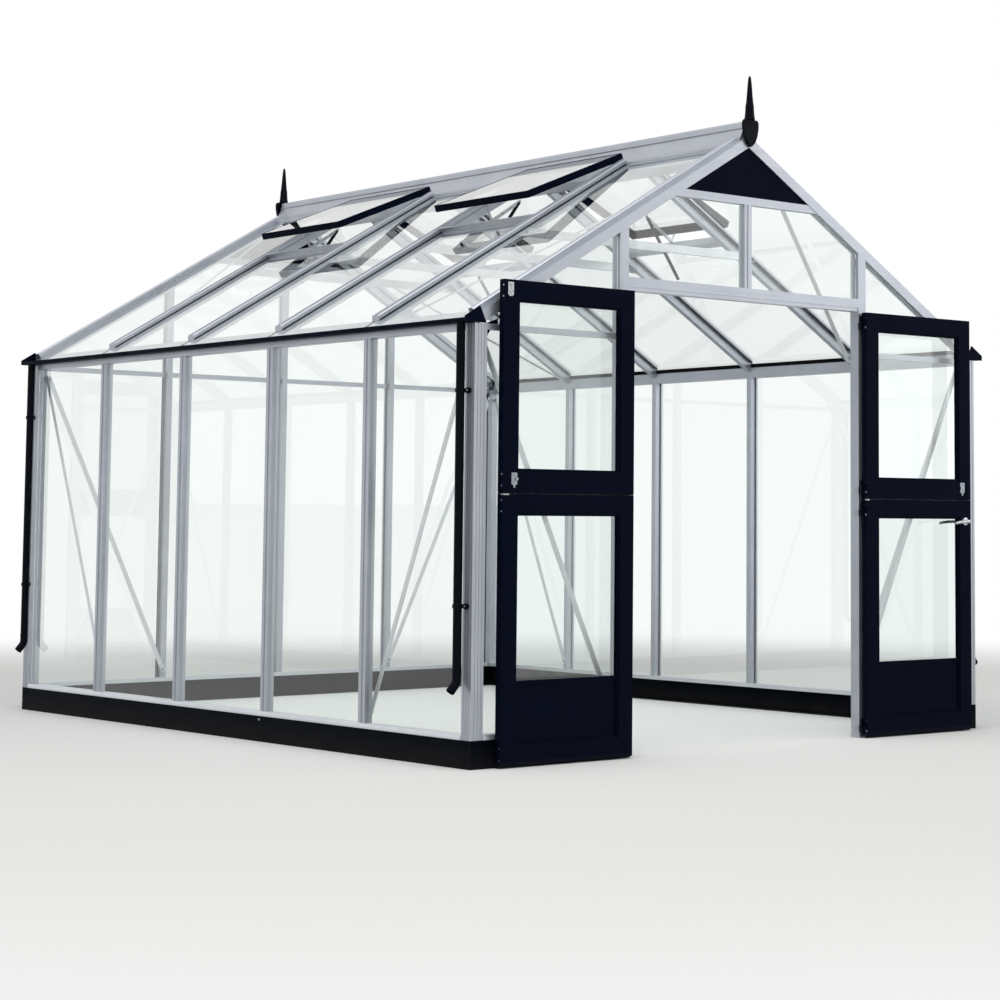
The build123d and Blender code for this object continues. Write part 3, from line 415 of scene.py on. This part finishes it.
def rubber(name, colour):
    """EPDM rubber, extruded and cut to length: matt, with a chalky bloom in patches."""
    finish, tree = start_finish(name)
    place = add_node(tree, "ShaderNodeTexCoord").outputs["Object"]
    cloud = add_node(tree, "ShaderNodeTexNoise", {"Vector": place, "Scale": 25.0, "Detail": 4.0})
    tone = add_node(tree, "ShaderNodeMix", {
        "Factor": cloud.outputs[0], 6: hex_colour(colour), 7: hex_colour("#0C0D10")},
        data_type="RGBA")
    body = add_node(tree, "ShaderNodeBsdfPrincipled", {
        "Base Color": tone.outputs[2], "Roughness": 0.62, "IOR": 1.5,
        "Specular IOR Level": 0.06})
    add_node(tree, "ShaderNodeOutputMaterial", {"Surface": body.outputs[0]})
    return finish


glass_peak = 2.618


def roof_z(x):
    """Height of the roof glass's upper face over a point x from the middle."""
    return glass_peak - roof_slope * abs(x)


glass = clear_glass("clear_toughened_glass", "#F8FBFA", "#F2F6F5")
wear(glass, *[name for name in nodes if "glass" in name])
seal_rubber = rubber("black_epdm_rubber", "#050608")
gable_seals = bmesh.new()
roof_seals_and_painted_shade = bmesh.new()
# The black strip beside each roof bar, out to 10 mm from its edge, is part gasket and part painted
# shade of the bar's shadowed side.
bar_side, seal_and_shade_side, seal_height = 0.0228, 0.0328, 0.0026
eaves_x, trimmer_x, ridge_x = 1.428, 0.562, 0.090
post_gap, corner_gap = 0.018, 0.050
for side in (1, -1):
    for k in range(1, 5):
        y = front + bay * k
        for way in (1, -1):
            ys = sorted((y + way * bar_side, y + way * seal_and_shade_side))
            bay_number = k - 1 + (1 if way > 0 else 0)
            high = trimmer_x if bay_number % 2 == 1 else ridge_x
            corners = [(side * x, y_edge, roof_z(x)) for x, y_edge in (
                (high, ys[0]), (eaves_x, ys[0]), (eaves_x, ys[1]), (high, ys[1]))]
            add_plate(roof_seals_and_painted_shade, corners, (0, 0, seal_height))
    for k in range(5):
        y0 = front + bay * k + (corner_gap if k == 0 else post_gap)
        y1 = front + bay * (k + 1) - (corner_gap if k == 4 else post_gap)
        xs = sorted((side * 1.4290, side * 1.4335))
        add_block(roof_seals_and_painted_shade, (xs[0], y0, 1.7485), (xs[1], y1, 1.7675))
    for x in (1.4185, 0.7375):
        xs = sorted((side * (x - 0.0015), side * (x + 0.0015)))
        for y in (front + 0.0138, back - 0.0162):
            add_block(gable_seals, (xs[0], y, 0.131), (xs[1], y + 0.0024, 1.694))
place_piece("roof_seals_and_painted_shade", roof_seals_and_painted_shade, seal_rubber, "house")
place_piece("gable_seals", gable_seals, seal_rubber, "house")


# Vent trimmers: the bar below each roof vent, an aluminium extrusion as deep as the roof bars,
# cut in between them. Its box carries the pane's upper edge, and a clamped angle on the glass
# stands up below the vent's edge to turn the rain away.
box_gap, angle_gap = 0.0155, 0.0235
trimmer_bars = (
    # The gap to the roof bar's middle line, the underside and the top over the glass, and the
    # two edges across the slope: first the box and its lips, then the clamped angle.
    (box_gap, -0.0410, -0.0046, 0.5400, 0.5435), (box_gap, -0.0080, -0.0046, 0.5435, 0.5700),
    (box_gap, -0.0410, -0.0380, 0.5435, 0.5700), (box_gap, -0.0380, -0.0080, 0.5668, 0.5700),
    (angle_gap, -0.0046, 0.0002, 0.5520, 0.5555), (angle_gap, 0.0002, 0.0030, 0.5520, 0.5745),
    (angle_gap, 0.0002, 0.0225, 0.5745, 0.5775), (angle_gap, 0.0195, 0.0225, 0.5775, 0.5835))
trimmers = bmesh.new()
for side in (1, -1):
    for first in (front + bay, front + 3 * bay):
        for gap, low, high, left, right in trimmer_bars:
            y0, y1 = first + gap, first + bay - gap
            bar = []
            for across, up in ((left, low), (right, low), (right, high), (left, high)):
                x = across + up * math.sin(roof_pitch)
                z = roof_z(across) + up * math.cos(roof_pitch)
                bar.append((side * x, y0, z))
            add_plate(trimmers, bar, (0, y1 - y0, 0))
place_piece("vent_trimmer_bars", trimmers, level_metal, "house",
            ("vent_trimmers",))


# Vent openers: under each roof vent a black wax cylinder hangs in the room, whose piston
# pushes a zinc-plated arm. A foot on the trimmer carries arm and strut, held by bolts.
def add_rings(form, rings, side, sides=20):
    """A round body through rings, each a centre, the way it faces and its radius, with closed
    ends; side is a direction that lies in every ring."""
    side = Vector(side).normalized()
    loops = []
    for centre, way, radius in rings:
        centre = Vector(centre)
        cross = Vector(way).normalized().cross(side)
        loop = []
        for i in range(sides):
            angle = 2 * math.pi * i / sides
            spot = centre + (side * math.cos(angle) + cross * math.sin(angle)) * radius
            loop.append(form.verts.new(spot))
        loops.append(loop)
    for one, two in zip(loops, loops[1:]):
        for i in range(sides):
            j = (i + 1) % sides
            form.faces.new((one[i], one[j], two[j], two[i]))
    form.faces.new(loops[0][::-1])
    form.faces.new(loops[-1])


def add_turned(form, start, way, steps, sides=20):
    """A turned body: steps are pairs of the distance along the axis and the radius there."""
    way = Vector(way).normalized()
    side = Vector((0, 1, 0)) if abs(way.y) < 0.9 else Vector((1, 0, 0))
    side = (side - way * side.dot(way)).normalized()
    add_rings(form, [(Vector(start) + way * s, way, r) for s, r in steps], side, sides)


def add_link(form, start, end, width, y0, y1):
    """A flat bar between two pivots, with round ends, standing across the gable."""
    a, b = Vector((start[0], 0, start[1])), Vector((end[0], 0, end[1]))
    run = (b - a).normalized()
    up = Vector((-run.z, 0, run.x))
    outline = []
    for centre, base in ((a, 90), (b, -90)):
        for i in range(7):
            angle = math.radians(base + 30 * i)
            spot = centre + (run * math.cos(angle) + up * math.sin(angle)) * width / 2
            outline.append((spot.x, y0, spot.z))
    add_plate(form, outline, (0, y1 - y0, 0))


def moulded_plastic(name, colour):
    """Black plastic out of a polished mould: soft gloss that varies where it cooled."""
    finish, tree = start_finish(name)
    place = add_node(tree, "ShaderNodeTexCoord").outputs["Object"]
    cloud = add_node(tree, "ShaderNodeTexNoise", {"Vector": place, "Scale": 40.0, "Detail": 3.0})
    shine = add_node(tree, "ShaderNodeMapRange", {
        "Value": cloud.outputs[0], "From Min": 0.3, "From Max": 0.7, "To Min": 0.32,
        "To Max": 0.45})
    tone = add_node(tree, "ShaderNodeMix", {
        "Factor": cloud.outputs[0], 6: hex_colour(colour), 7: hex_colour("#060912")},
        data_type="RGBA")
    body = add_node(tree, "ShaderNodeBsdfPrincipled", {
        "Base Color": tone.outputs[2], "Roughness": shine.outputs[0], "IOR": 1.49,
        "Specular IOR Level": 0.06})
    add_node(tree, "ShaderNodeOutputMaterial", {"Surface": body.outputs[0]})
    return finish


black_plastic = moulded_plastic("black_moulded_plastic", "#03060E")
arms = bmesh.new()
tubes = bmesh.new()
opener_bolts = []
foot, head = (0.548, 2.3017), (0.390, 2.4049)
tube_way = Vector((0.5835, 0.0, -0.8121))
tube_steps = ((0.0, 0.0045), (0.002, 0.006), (0.012, 0.006), (0.0125, 0.0078), (0.030, 0.0078),
              (0.0305, 0.0070), (0.036, 0.0070), (0.0365, 0.0080), (0.340, 0.0080),
              (0.3405, 0.0073), (0.346, 0.0073), (0.3465, 0.0080), (0.357, 0.0080),
              (0.360, 0.0060))
vent_hinge_x, vent_hinge_z, vent_edge_x = 0.058, 2.5969, 0.598
strut_gap = 0.008
for side, opened in ((1, 5.5), (-1, 8.0)):
    tilt = roof_pitch - math.radians(opened)
    reach = (vent_edge_x - vent_hinge_x) / math.cos(tilt)
    strut_z = vent_hinge_z - math.sin(tilt) * reach - strut_gap
    strut_top = (foot[0] + (strut_z - foot[1]) * 0.5, strut_z)
    for y in (front + bay * 1.5, front + bay * 3.5):
        arm = bmesh.new()
        add_link(arm, foot, head, 0.014, y - 0.004, y - 0.001)
        add_link(arm, foot, head, 0.014, y + 0.001, y + 0.004)
        add_link(arm, foot, strut_top, 0.013, y - 0.001, y + 0.001)
        add_block(arm, (foot[0] - 0.006, y - 0.0078, 2.2825),
                  (foot[0] + 0.006, y + 0.0078, 2.2975), 0.001)
        tube = bmesh.new()
        add_turned(tube, Vector((head[0], y, head[1])) - tube_way * 0.008, tube_way, tube_steps)
        for whole, form in ((arms, arm), (tubes, tube)):
            bmesh.ops.scale(form, vec=(side, 1, 1), verts=form.verts)
            part = bpy.data.meshes.new("part")
            form.to_mesh(part)
            form.free()
            whole.from_mesh(part)
            bpy.data.meshes.remove(part)
        opener_bolts += [((side * x, y + way * 0.004, z), (0, way, 0))
                         for x, z in (foot, head) for way in (1, -1)]
place_piece("vent_opener_arms", arms, zinc, "house", ("vent_stays",))
place_piece("vent_opener_tubes", tubes, black_plastic, "house")
fasten("vent_opener_bolts", opener_bolts, (0.009, 0.005, 0.012, 6), zinc, "house")


# Downpipes: round black plastic pipe from the gutter down the corner post, turned outwards at
# its foot by a moulded shoe with a socket. Two clips hold it, each with a round knob.
pipe_radius, socket_radius, shoe_radius, bore_radius = 0.0175, 0.0190, 0.0178, 0.0155
pipe_x, pipe_y, pipe_top, knee_z = 1.507, -1.744, 1.7197, 0.331
toe_x, toe_z = 1.538, 0.295
clip_levels = (1.455, 0.622)
clip_face, knob_face = 1.4803, 1.4853


def pipe_rings(side, y):
    """Rings down the pipe, round the knee and out to the toe, then up the bore."""
    down = Vector((0, 0, -1))
    knee = Vector((side * pipe_x, y, knee_z))
    toe = Vector((side * toe_x, y, toe_z))
    slant = (toe - knee).normalized()
    rings = [(knee - down * up, down, radius) for up, radius in (
        (pipe_top - knee_z, pipe_radius), (0.043, pipe_radius), (0.0425, socket_radius),
        (0.034, socket_radius), (0.0335, shoe_radius))]
    before = knee - down * 0.016
    after = knee + slant * 0.016
    for i in range(7):
        t = i / 6
        spot = before.lerp(knee, t).lerp(knee.lerp(after, t), t)
        rings.append((spot, down.slerp(slant, t), shoe_radius))
    rings += [(toe - slant * 0.001, slant, shoe_radius), (toe, slant, 0.0172),
              (toe, slant, bore_radius), (toe - slant * 0.030, slant, bore_radius)]
    return rings


pipes = bmesh.new()
knobs = bmesh.new()
knob_screws = []
for side in (1, -1):
    for end in (1, -1):
        y = at_end(pipe_y, end)
        knob_y = at_end(-1.770, end)
        add_rings(pipes, pipe_rings(side, y), (0, 1, 0), 24)
        for z in clip_levels:
            hoop = [((side * pipe_x, y, z + dz), (0, 0, 1), radius) for dz, radius in (
                (-0.008, 0.0176), (-0.008, 0.0206), (-0.0072, 0.0214), (0.0072, 0.0214),
                (0.008, 0.0206), (0.008, 0.0176))]
            add_rings(pipes, hoop, (math.cos(math.pi / 8), math.sin(math.pi / 8), 0), 8)
            xs = sorted((side * 1.4840, side * 1.4990))
            add_block(pipes, (xs[0], y - 0.0053, z - 0.0053), (xs[1], y + 0.0053, z + 0.0053),
                      0.001)
            xs = sorted((side * clip_face, side * knob_face))
            ys = sorted((at_end(-1.783, end), y))
            add_block(pipes, (xs[0], ys[0], z - 0.008), (xs[1], ys[1], z + 0.008), 0.0012)
            add_turned(knobs, (side * knob_face, knob_y, z), (side, 0, 0), [
                (0.0, 0.0120), (0.005, 0.0122), (0.0075, 0.0112), (0.009, 0.0085),
                (0.0092, 0.0060)], 24)
            knob_screws.append(((side * 1.4944, knob_y, z), (side, 0, 0)))
place_piece("downpipes_round", pipes, black_plastic, "house", ("downpipes",))
place_piece("clip_knobs", knobs, black_plastic, "house")
fasten("clip_knob_screws", knob_screws, (0.008, 0.003, 0.010, 12), zinc, "house")


# Ridge ends: a black moulded shield that closes the ridge at each gable, with a spire turned
# on top of it, over a thin aluminium plate. One moulding each, pushed on and screwed.
def both_sides(half):
    """A closed outline from the half that lies right of the middle."""
    left = [(-x, z) for x, z in half[::-1] if x > 0]
    return half + left


ends = bmesh.new()
closers = bmesh.new()
shield = both_sides([(0.0, 2.5704), (0.0130, 2.5790), (0.0235, 2.5900), (0.0315, 2.6030),
                     (0.0368, 2.6190), (0.0405, 2.6350), (0.0435, 2.6510), (0.0462, 2.6670),
                     (0.0458, 2.6790), (0.0385, 2.6905)])
closer = both_sides([(0.0225, 2.6515), (0.0262, 2.6440), (0.0342, 2.6275), (0.0470, 2.6075),
                     (0.0632, 2.5900), (0.0810, 2.5755), (0.0810, 2.5600)])
spire = [(0.0, 0.0225), (0.003, 0.0240), (0.008, 0.0232), (0.020, 0.0212), (0.027, 0.0205),
         (0.040, 0.0195), (0.063, 0.0186), (0.070, 0.0168), (0.085, 0.0150), (0.101, 0.0136),
         (0.120, 0.0120), (0.143, 0.0104), (0.168, 0.0082), (0.185, 0.0060), (0.192, 0.0034),
         (0.194, 0.0012)]
for end in (1, -1):
    shield_y, spire_y, closer_y = [at_end(y, end) for y in (-1.8133, -1.8018, -1.7876)]
    add_plate(ends, [(x, shield_y, z) for x, z in shield], (0, end * 0.014, 0), 0.002)
    add_turned(ends, (0, spire_y, 2.690), (0, 0, 1), spire, 24)
    add_plate(closers, [(x, closer_y, z) for x, z in closer], (0, end * 0.0012, 0))
place_piece("ridge_end_mouldings", ends, black_plastic, "house",
            ("ridge_ends",))
place_piece("ridge_closing_plates", closers, level_metal, "house")


# Doors: split leaves of black powder-coated aluminium box section, with a flat panel at the
# foot of each lower half. Lift-off hinges of pressed steel, two to a half, black outside and
# zinc at the jamb, with screws there and on the edges of the leaves.
face_out, face_in = -1.814, -1.784
free_edge, hinge_edge = 0.0055, 0.6825
leaf_width = hinge_edge - free_edge
pin = (0.6885, face_out)


def half_coated(name, coat, bare):
    """Pressed steel hinges: black powder coat outside the door frame, bare zinc on the plates
    that lie against the jamb. The edge between them wanders by about a millimetre."""
    finish, tree = start_finish(name)
    place = add_node(tree, "ShaderNodeTexCoord").outputs["Object"]
    apart = add_node(tree, "ShaderNodeSeparateXYZ", {"Vector": place})
    waver = add_node(tree, "ShaderNodeTexNoise", {"Vector": place, "Scale": 150.0})
    edge = add_node(tree, "ShaderNodeMath", {0: waver.outputs[0], 1: 0.002, 2: apart.outputs["Y"]},
                    operation="MULTIPLY_ADD")
    inside = add_node(tree, "ShaderNodeMapRange", {
        "Value": edge.outputs[0], "From Min": -1.7985, "From Max": -1.7975})
    tone = add_node(tree, "ShaderNodeMix", {
        "Factor": inside.outputs[0], 6: hex_colour(coat), 7: hex_colour(bare)},
        data_type="RGBA")
    body = add_node(tree, "ShaderNodeBsdfPrincipled", {
        "Base Color": tone.outputs[2], "Metallic": inside.outputs[0], "Roughness": 0.45,
        "Specular IOR Level": 0.1})
    add_node(tree, "ShaderNodeOutputMaterial", {"Surface": body.outputs[0]})
    return finish


def swing(spot, facing, side):
    """A place on the closed right-hand leaf, carried to where one side's leaf stands open."""
    spot, facing, centre = Vector(spot), Vector(facing), Vector((pin[0], pin[1], 0.0))
    opened = 178.0
    if side == "left":
        opened = -180.0
        spot, facing, centre = [Vector((-v.x, v.y, v.z)) for v in (spot, facing, centre)]
    turn = Matrix.Rotation(math.radians(opened), 3, "Z")
    return tuple(turn @ (spot - centre) + centre), tuple(turn @ facing)


def swing_form(form, side):
    """A mesh drawn on the closed right-hand leaf, carried in the same way."""
    for vert in form.verts:
        vert.co = Vector(swing(vert.co, (0, 0, 1), side)[0])


for side in ("left", "right"):
    for half in ("upper_frame", "lower_frame", "kick_panel"):
        wear(frame_coat, f"door_{side}_{half}")
wear(half_coated("hinge_steel", "#060912", "#A9AEB6"), "door_hinges")
jamb_screws = [((side * 0.6860, -1.786, hinge_z - drop), (-side, 0, 0))
               for hinge_z in (1.849, 1.110, 1.010, 0.055)
               for drop in (0.022, 0.008) for side in (1, -1)]
fasten("jamb_hinge_screws", jamb_screws, (0.006, 0.002, 0.007, 12), zinc, "house")
leaf_screws = {"upper": (1.871, 1.827, 1.132, 1.088), "lower": (1.032, 0.988, 0.077, 0.033)}
leaf_edges = ((free_edge + 0.0002, -1), (hinge_edge - 0.0002, 1))
for side in ("left", "right"):
    for half, levels in leaf_screws.items():
        spots = [swing((x, -1.790, z), (way, 0, 0), side) for z in levels for x, way in leaf_edges]
        fasten(f"{side}_{half}_screws", spots, (0.007, 0.0012, 0.009, 12), zinc,
               f"door_{side}_{half}")


# Door seals: a rubber blade under each upper half closes the gap to the lower one, and a rubber
# strip under each lower half the gap over the threshold.
blade_shape = ((-1.8132, 1.0630), (-1.7848, 1.0630), (-1.7856, 1.0575), (-1.8124, 1.0575))
brush_shape = ((-1.8030, 0.0100), (-1.7950, 0.0100), (-1.7958, 0.0032), (-1.8022, 0.0032))
for side in ("left", "right"):
    for name, shape, half in (("split_blade", blade_shape, "upper"),
                              ("foot_brush", brush_shape, "lower")):
        strip = bmesh.new()
        add_plate(strip, [(free_edge, y, z) for y, z in shape], (leaf_width, 0, 0))
        swing_form(strip, side)
        place_piece(f"{side}_{name}", strip, seal_rubber, f"door_{side}_{half}")


# Handle and latches: a bright lever on a round rose on both faces of the lower right leaf, a
# galvanised turn-plate that joins each leaf's halves over a trim strip at the split, and a
# catch plate on the left leaf.
bright = plated("polished_zinc", "#D6D8DA", 0.1)
lever_x, lever_z = 0.0455, 0.960
rose = ((0.0, 0.0190), (0.0045, 0.0190), (0.0068, 0.0178), (0.0080, 0.0145), (0.0082, 0.0092),
        (0.0285, 0.0080))
neck_end, elbow_out, lever_out = 0.027, 0.0328, 0.0345
bend = ((0.0, 0.0078), (0.25, 0.0080), (0.5, 0.0082), (0.75, 0.0082), (1.0, 0.0080))
grip = ((0.030, -0.0005, 0.0080), (0.055, -0.002, 0.0076), (0.080, -0.005, 0.0074),
        (0.096, -0.0075, 0.0072), (0.101, -0.0083, 0.0056), (0.103, -0.0086, 0.0020))
levers = bmesh.new()
for face, way in ((face_out, -1), (face_in, 1)):
    add_turned(levers, (lever_x, face, lever_z), (0, way, 0), rose, 28)
    begin = Vector((lever_x, face + way * neck_end, lever_z))
    elbow = Vector((lever_x, face + way * elbow_out, lever_z))
    after = Vector((lever_x + 0.012, face + way * lever_out, lever_z))
    rings = []
    for t, radius in bend:
        spot = begin.lerp(elbow, t).lerp(elbow.lerp(after, t), t)
        heading = (elbow - begin).normalized().lerp((after - elbow).normalized(), t)
        rings.append((spot, heading, radius))
    for dx, dz, radius in grip:
        rings.append(((lever_x + dx, face + way * lever_out, lever_z + dz), (1, 0, 0), radius))
    add_rings(levers, rings, (0, 0, 1), 20)
swing_form(levers, "right")
place_piece("lever_handle", levers, bright, "door_right_lower",
            ("door_handle",))
rivet_steel = plated("dull_zinc_rivets", "#4B5156", 0.45)
# The turn-plates' darker blue-grey is partly the dull tone of galvanising and partly painted
# shade.
galvanised_with_painted_shade = plated("galvanised_plate_with_painted_shade", "#A3ACB2", 0.38)
plate_shape = ((0.0, 1.1385), (0.029, 1.1385), (0.029, 1.0925), (0.0195, 1.0915),
               (0.0185, 1.0810), (0.0145, 1.0780), (0.0105, 1.0810), (0.0095, 1.0915),
               (0.0, 1.0925))
plate_x, plate_thick = 0.047, 0.003
for side, replaced in (("right", ("door_latches",)), ("left", ())):
    plate = bmesh.new()
    add_plate(plate, [(plate_x + dx, face_in, z) for dx, z in plate_shape],
              (0, plate_thick, 0), 0.0006)
    add_turned(plate, (plate_x + 0.0245, -1.7812, 1.114), (0, 1, 0), [
        (0.0, 0.0070), (0.005, 0.0070), (0.006, 0.0055)], 20)
    swing_form(plate, side)
    place_piece(f"{side}_turn_plate", plate, galvanised_with_painted_shade, f"door_{side}_upper",
                replaced)
    spots = [swing((plate_x + 0.011, face_in + plate_thick, z), (0, 1, 0), side)
             for z in (1.129, 1.102)]
    fasten(f"{side}_turn_plate_rivets", spots, (0.005, 0.0015, 0.006, 10), rivet_steel,
           f"door_{side}_upper")

catch = bmesh.new()
catch_shape = ((0.021, 1.884), (0.050, 1.884), (0.050, 1.836), (0.044, 1.828), (0.027, 1.828),
               (0.021, 1.836))
add_plate(catch, [(x, face_in, z) for x, z in catch_shape], (0, 0.0025, 0), 0.0006)
swing_form(catch, "left")
place_piece("catch_plate", catch, zinc, "door_left_upper")
spots = [swing((0.0355, -1.7815, z), (0, 1, 0), "left") for z in (1.872, 1.846)]
fasten("catch_screws", spots, (0.007, 0.003, 0.009, 12), zinc, "door_left_upper")

trim_low, trim_high = 1.0515, 1.0565
for side, corner, reach in (("left", free_edge, 0.0305), ("right", hinge_edge, -0.0155)):
    xs = sorted((corner, corner + reach))
    trim = bmesh.new()
    add_plate(trim, [(xs[0], face_in, trim_high), (xs[1], face_in, trim_high),
                     (xs[1], face_in, trim_low), (xs[0], face_in, trim_low)],
              (0, 0.002, 0), 0.0004)
    xs = sorted((corner, corner - math.copysign(0.0015, reach)))
    add_block(trim, (xs[0], -1.794, trim_low), (xs[1], face_in, trim_high))
    swing_form(trim, side)
    place_piece(f"{side}_split_trim", trim, zinc, f"door_{side}_lower")


# The floor is a pale sheet that runs out into the white of the room; the room is lit evenly,
# with one large lamp high over the front left corner, and one low fill.
floor_mesh = bpy.data.meshes.new("floor")
floor_form = bmesh.new()
bmesh.ops.create_grid(floor_form, x_segments=8, y_segments=8, size=40.0)
floor_form.to_mesh(floor_mesh)
floor_form.free()
floor = bpy.data.objects.new("floor", floor_mesh)
bpy.context.scene.collection.objects.link(floor)
pale, tree = start_finish("pale_floor")
place = add_node(tree, "ShaderNodeTexCoord").outputs["Object"]
far = add_node(tree, "ShaderNodeVectorMath", {0: place}, operation="LENGTH")
fade = add_node(tree, "ShaderNodeMapRange", {
    "Value": far.outputs["Value"], "From Min": 4.0, "From Max": 9.0},
    interpolation_type="SMOOTHSTEP")


def seen_by_eye(tree):
    """1 for rays that the camera, a mirror or a pane sends out, and 0 for the light's own."""
    ray = add_node(tree, "ShaderNodeLightPath")
    seen = add_node(tree, "ShaderNodeMath", {
        0: ray.outputs["Is Camera Ray"], 1: ray.outputs["Is Glossy Ray"]}, operation="MAXIMUM")
    return add_node(tree, "ShaderNodeMath", {
        0: seen.outputs[0], 1: ray.outputs["Is Transmission Ray"]}, operation="MAXIMUM")


seen = seen_by_eye(tree)
blend = add_node(tree, "ShaderNodeMath", {0: seen.outputs[0], 1: fade.outputs[0]},
                 operation="MULTIPLY")
matt = add_node(tree, "ShaderNodeBsdfDiffuse", {"Color": hex_colour("#F1F1EF")})
white = add_node(tree, "ShaderNodeEmission", {"Color": (1, 1, 1, 1), "Strength": 1.0})
both = add_node(tree, "ShaderNodeMixShader", {
    0: blend.outputs[0], 1: matt.outputs[0], 2: white.outputs[0]})
add_node(tree, "ShaderNodeOutputMaterial", {"Surface": both.outputs[0]})
floor_mesh.materials.append(pale)
floor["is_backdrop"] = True

room = bpy.data.worlds.new("studio")
bpy.context.scene.world = room
room.use_nodes = True
tree = room.node_tree
tree.nodes.clear()
seen = seen_by_eye(tree)
level = add_node(tree, "ShaderNodeMapRange", {"Value": seen.outputs[0], "To Min": 0.52,
                                              "To Max": 1.0})
light = add_node(tree, "ShaderNodeBackground", {
    "Color": (1, 1, 1, 1), "Strength": level.outputs[0]})
add_node(tree, "ShaderNodeOutputWorld", {"Surface": light.outputs[0]})

lowest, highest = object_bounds()
aim = (lowest + highest) / 2
for name, size, power, place in (("key_lamp", 6.0, 360.0, (-3.5, -3.5, 8.8)),
                                 ("fill_lamp", 6.0, 90.0, (7.0, -6.0, 4.0))):
    lamp = bpy.data.lights.new(name, "AREA")
    lamp.size = size
    lamp.energy = power
    holder = bpy.data.objects.new(name, lamp)
    bpy.context.scene.collection.objects.link(holder)
    holder.location = place
    holder.rotation_euler = (aim - Vector(place)).to_track_quat("-Z", "Y").to_euler()

# The camera stands off the front left corner, below eye height, as in the photograph. Its
# place, turn and lens were fitted to straight edges of the house there.
yaw = math.radians(41.718)
lift = math.radians(4.9445)
roll = math.radians(0.3223)
forward = Vector((math.sin(yaw) * math.cos(lift), math.cos(yaw) * math.cos(lift),
                  math.sin(lift)))
level_right = Vector((math.cos(yaw), -math.sin(yaw), 0.0))
level_up = level_right.cross(forward)
right = level_right * math.cos(roll) + level_up * math.sin(roll)
up = level_up * math.cos(roll) - level_right * math.sin(roll)
view = bpy.data.cameras.new("camera")
view.sensor_width = 36.0
view.lens = 83.878
view.shift_x = -0.15
view.shift_y = -0.1798
view.clip_start = 0.1
view.clip_end = 200.0
camera = bpy.data.objects.new("camera", view)
bpy.context.scene.collection.objects.link(camera)
stand = (-6.9756, -8.9835, 0.9505)
turned = Matrix((right, up, -forward)).transposed().to_4x4()
camera.matrix_world = Matrix.Translation(stand) @ turned
bpy.context.scene.camera = camera
bpy.context.scene.view_settings.view_transform = "Standard"

lowest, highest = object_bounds()
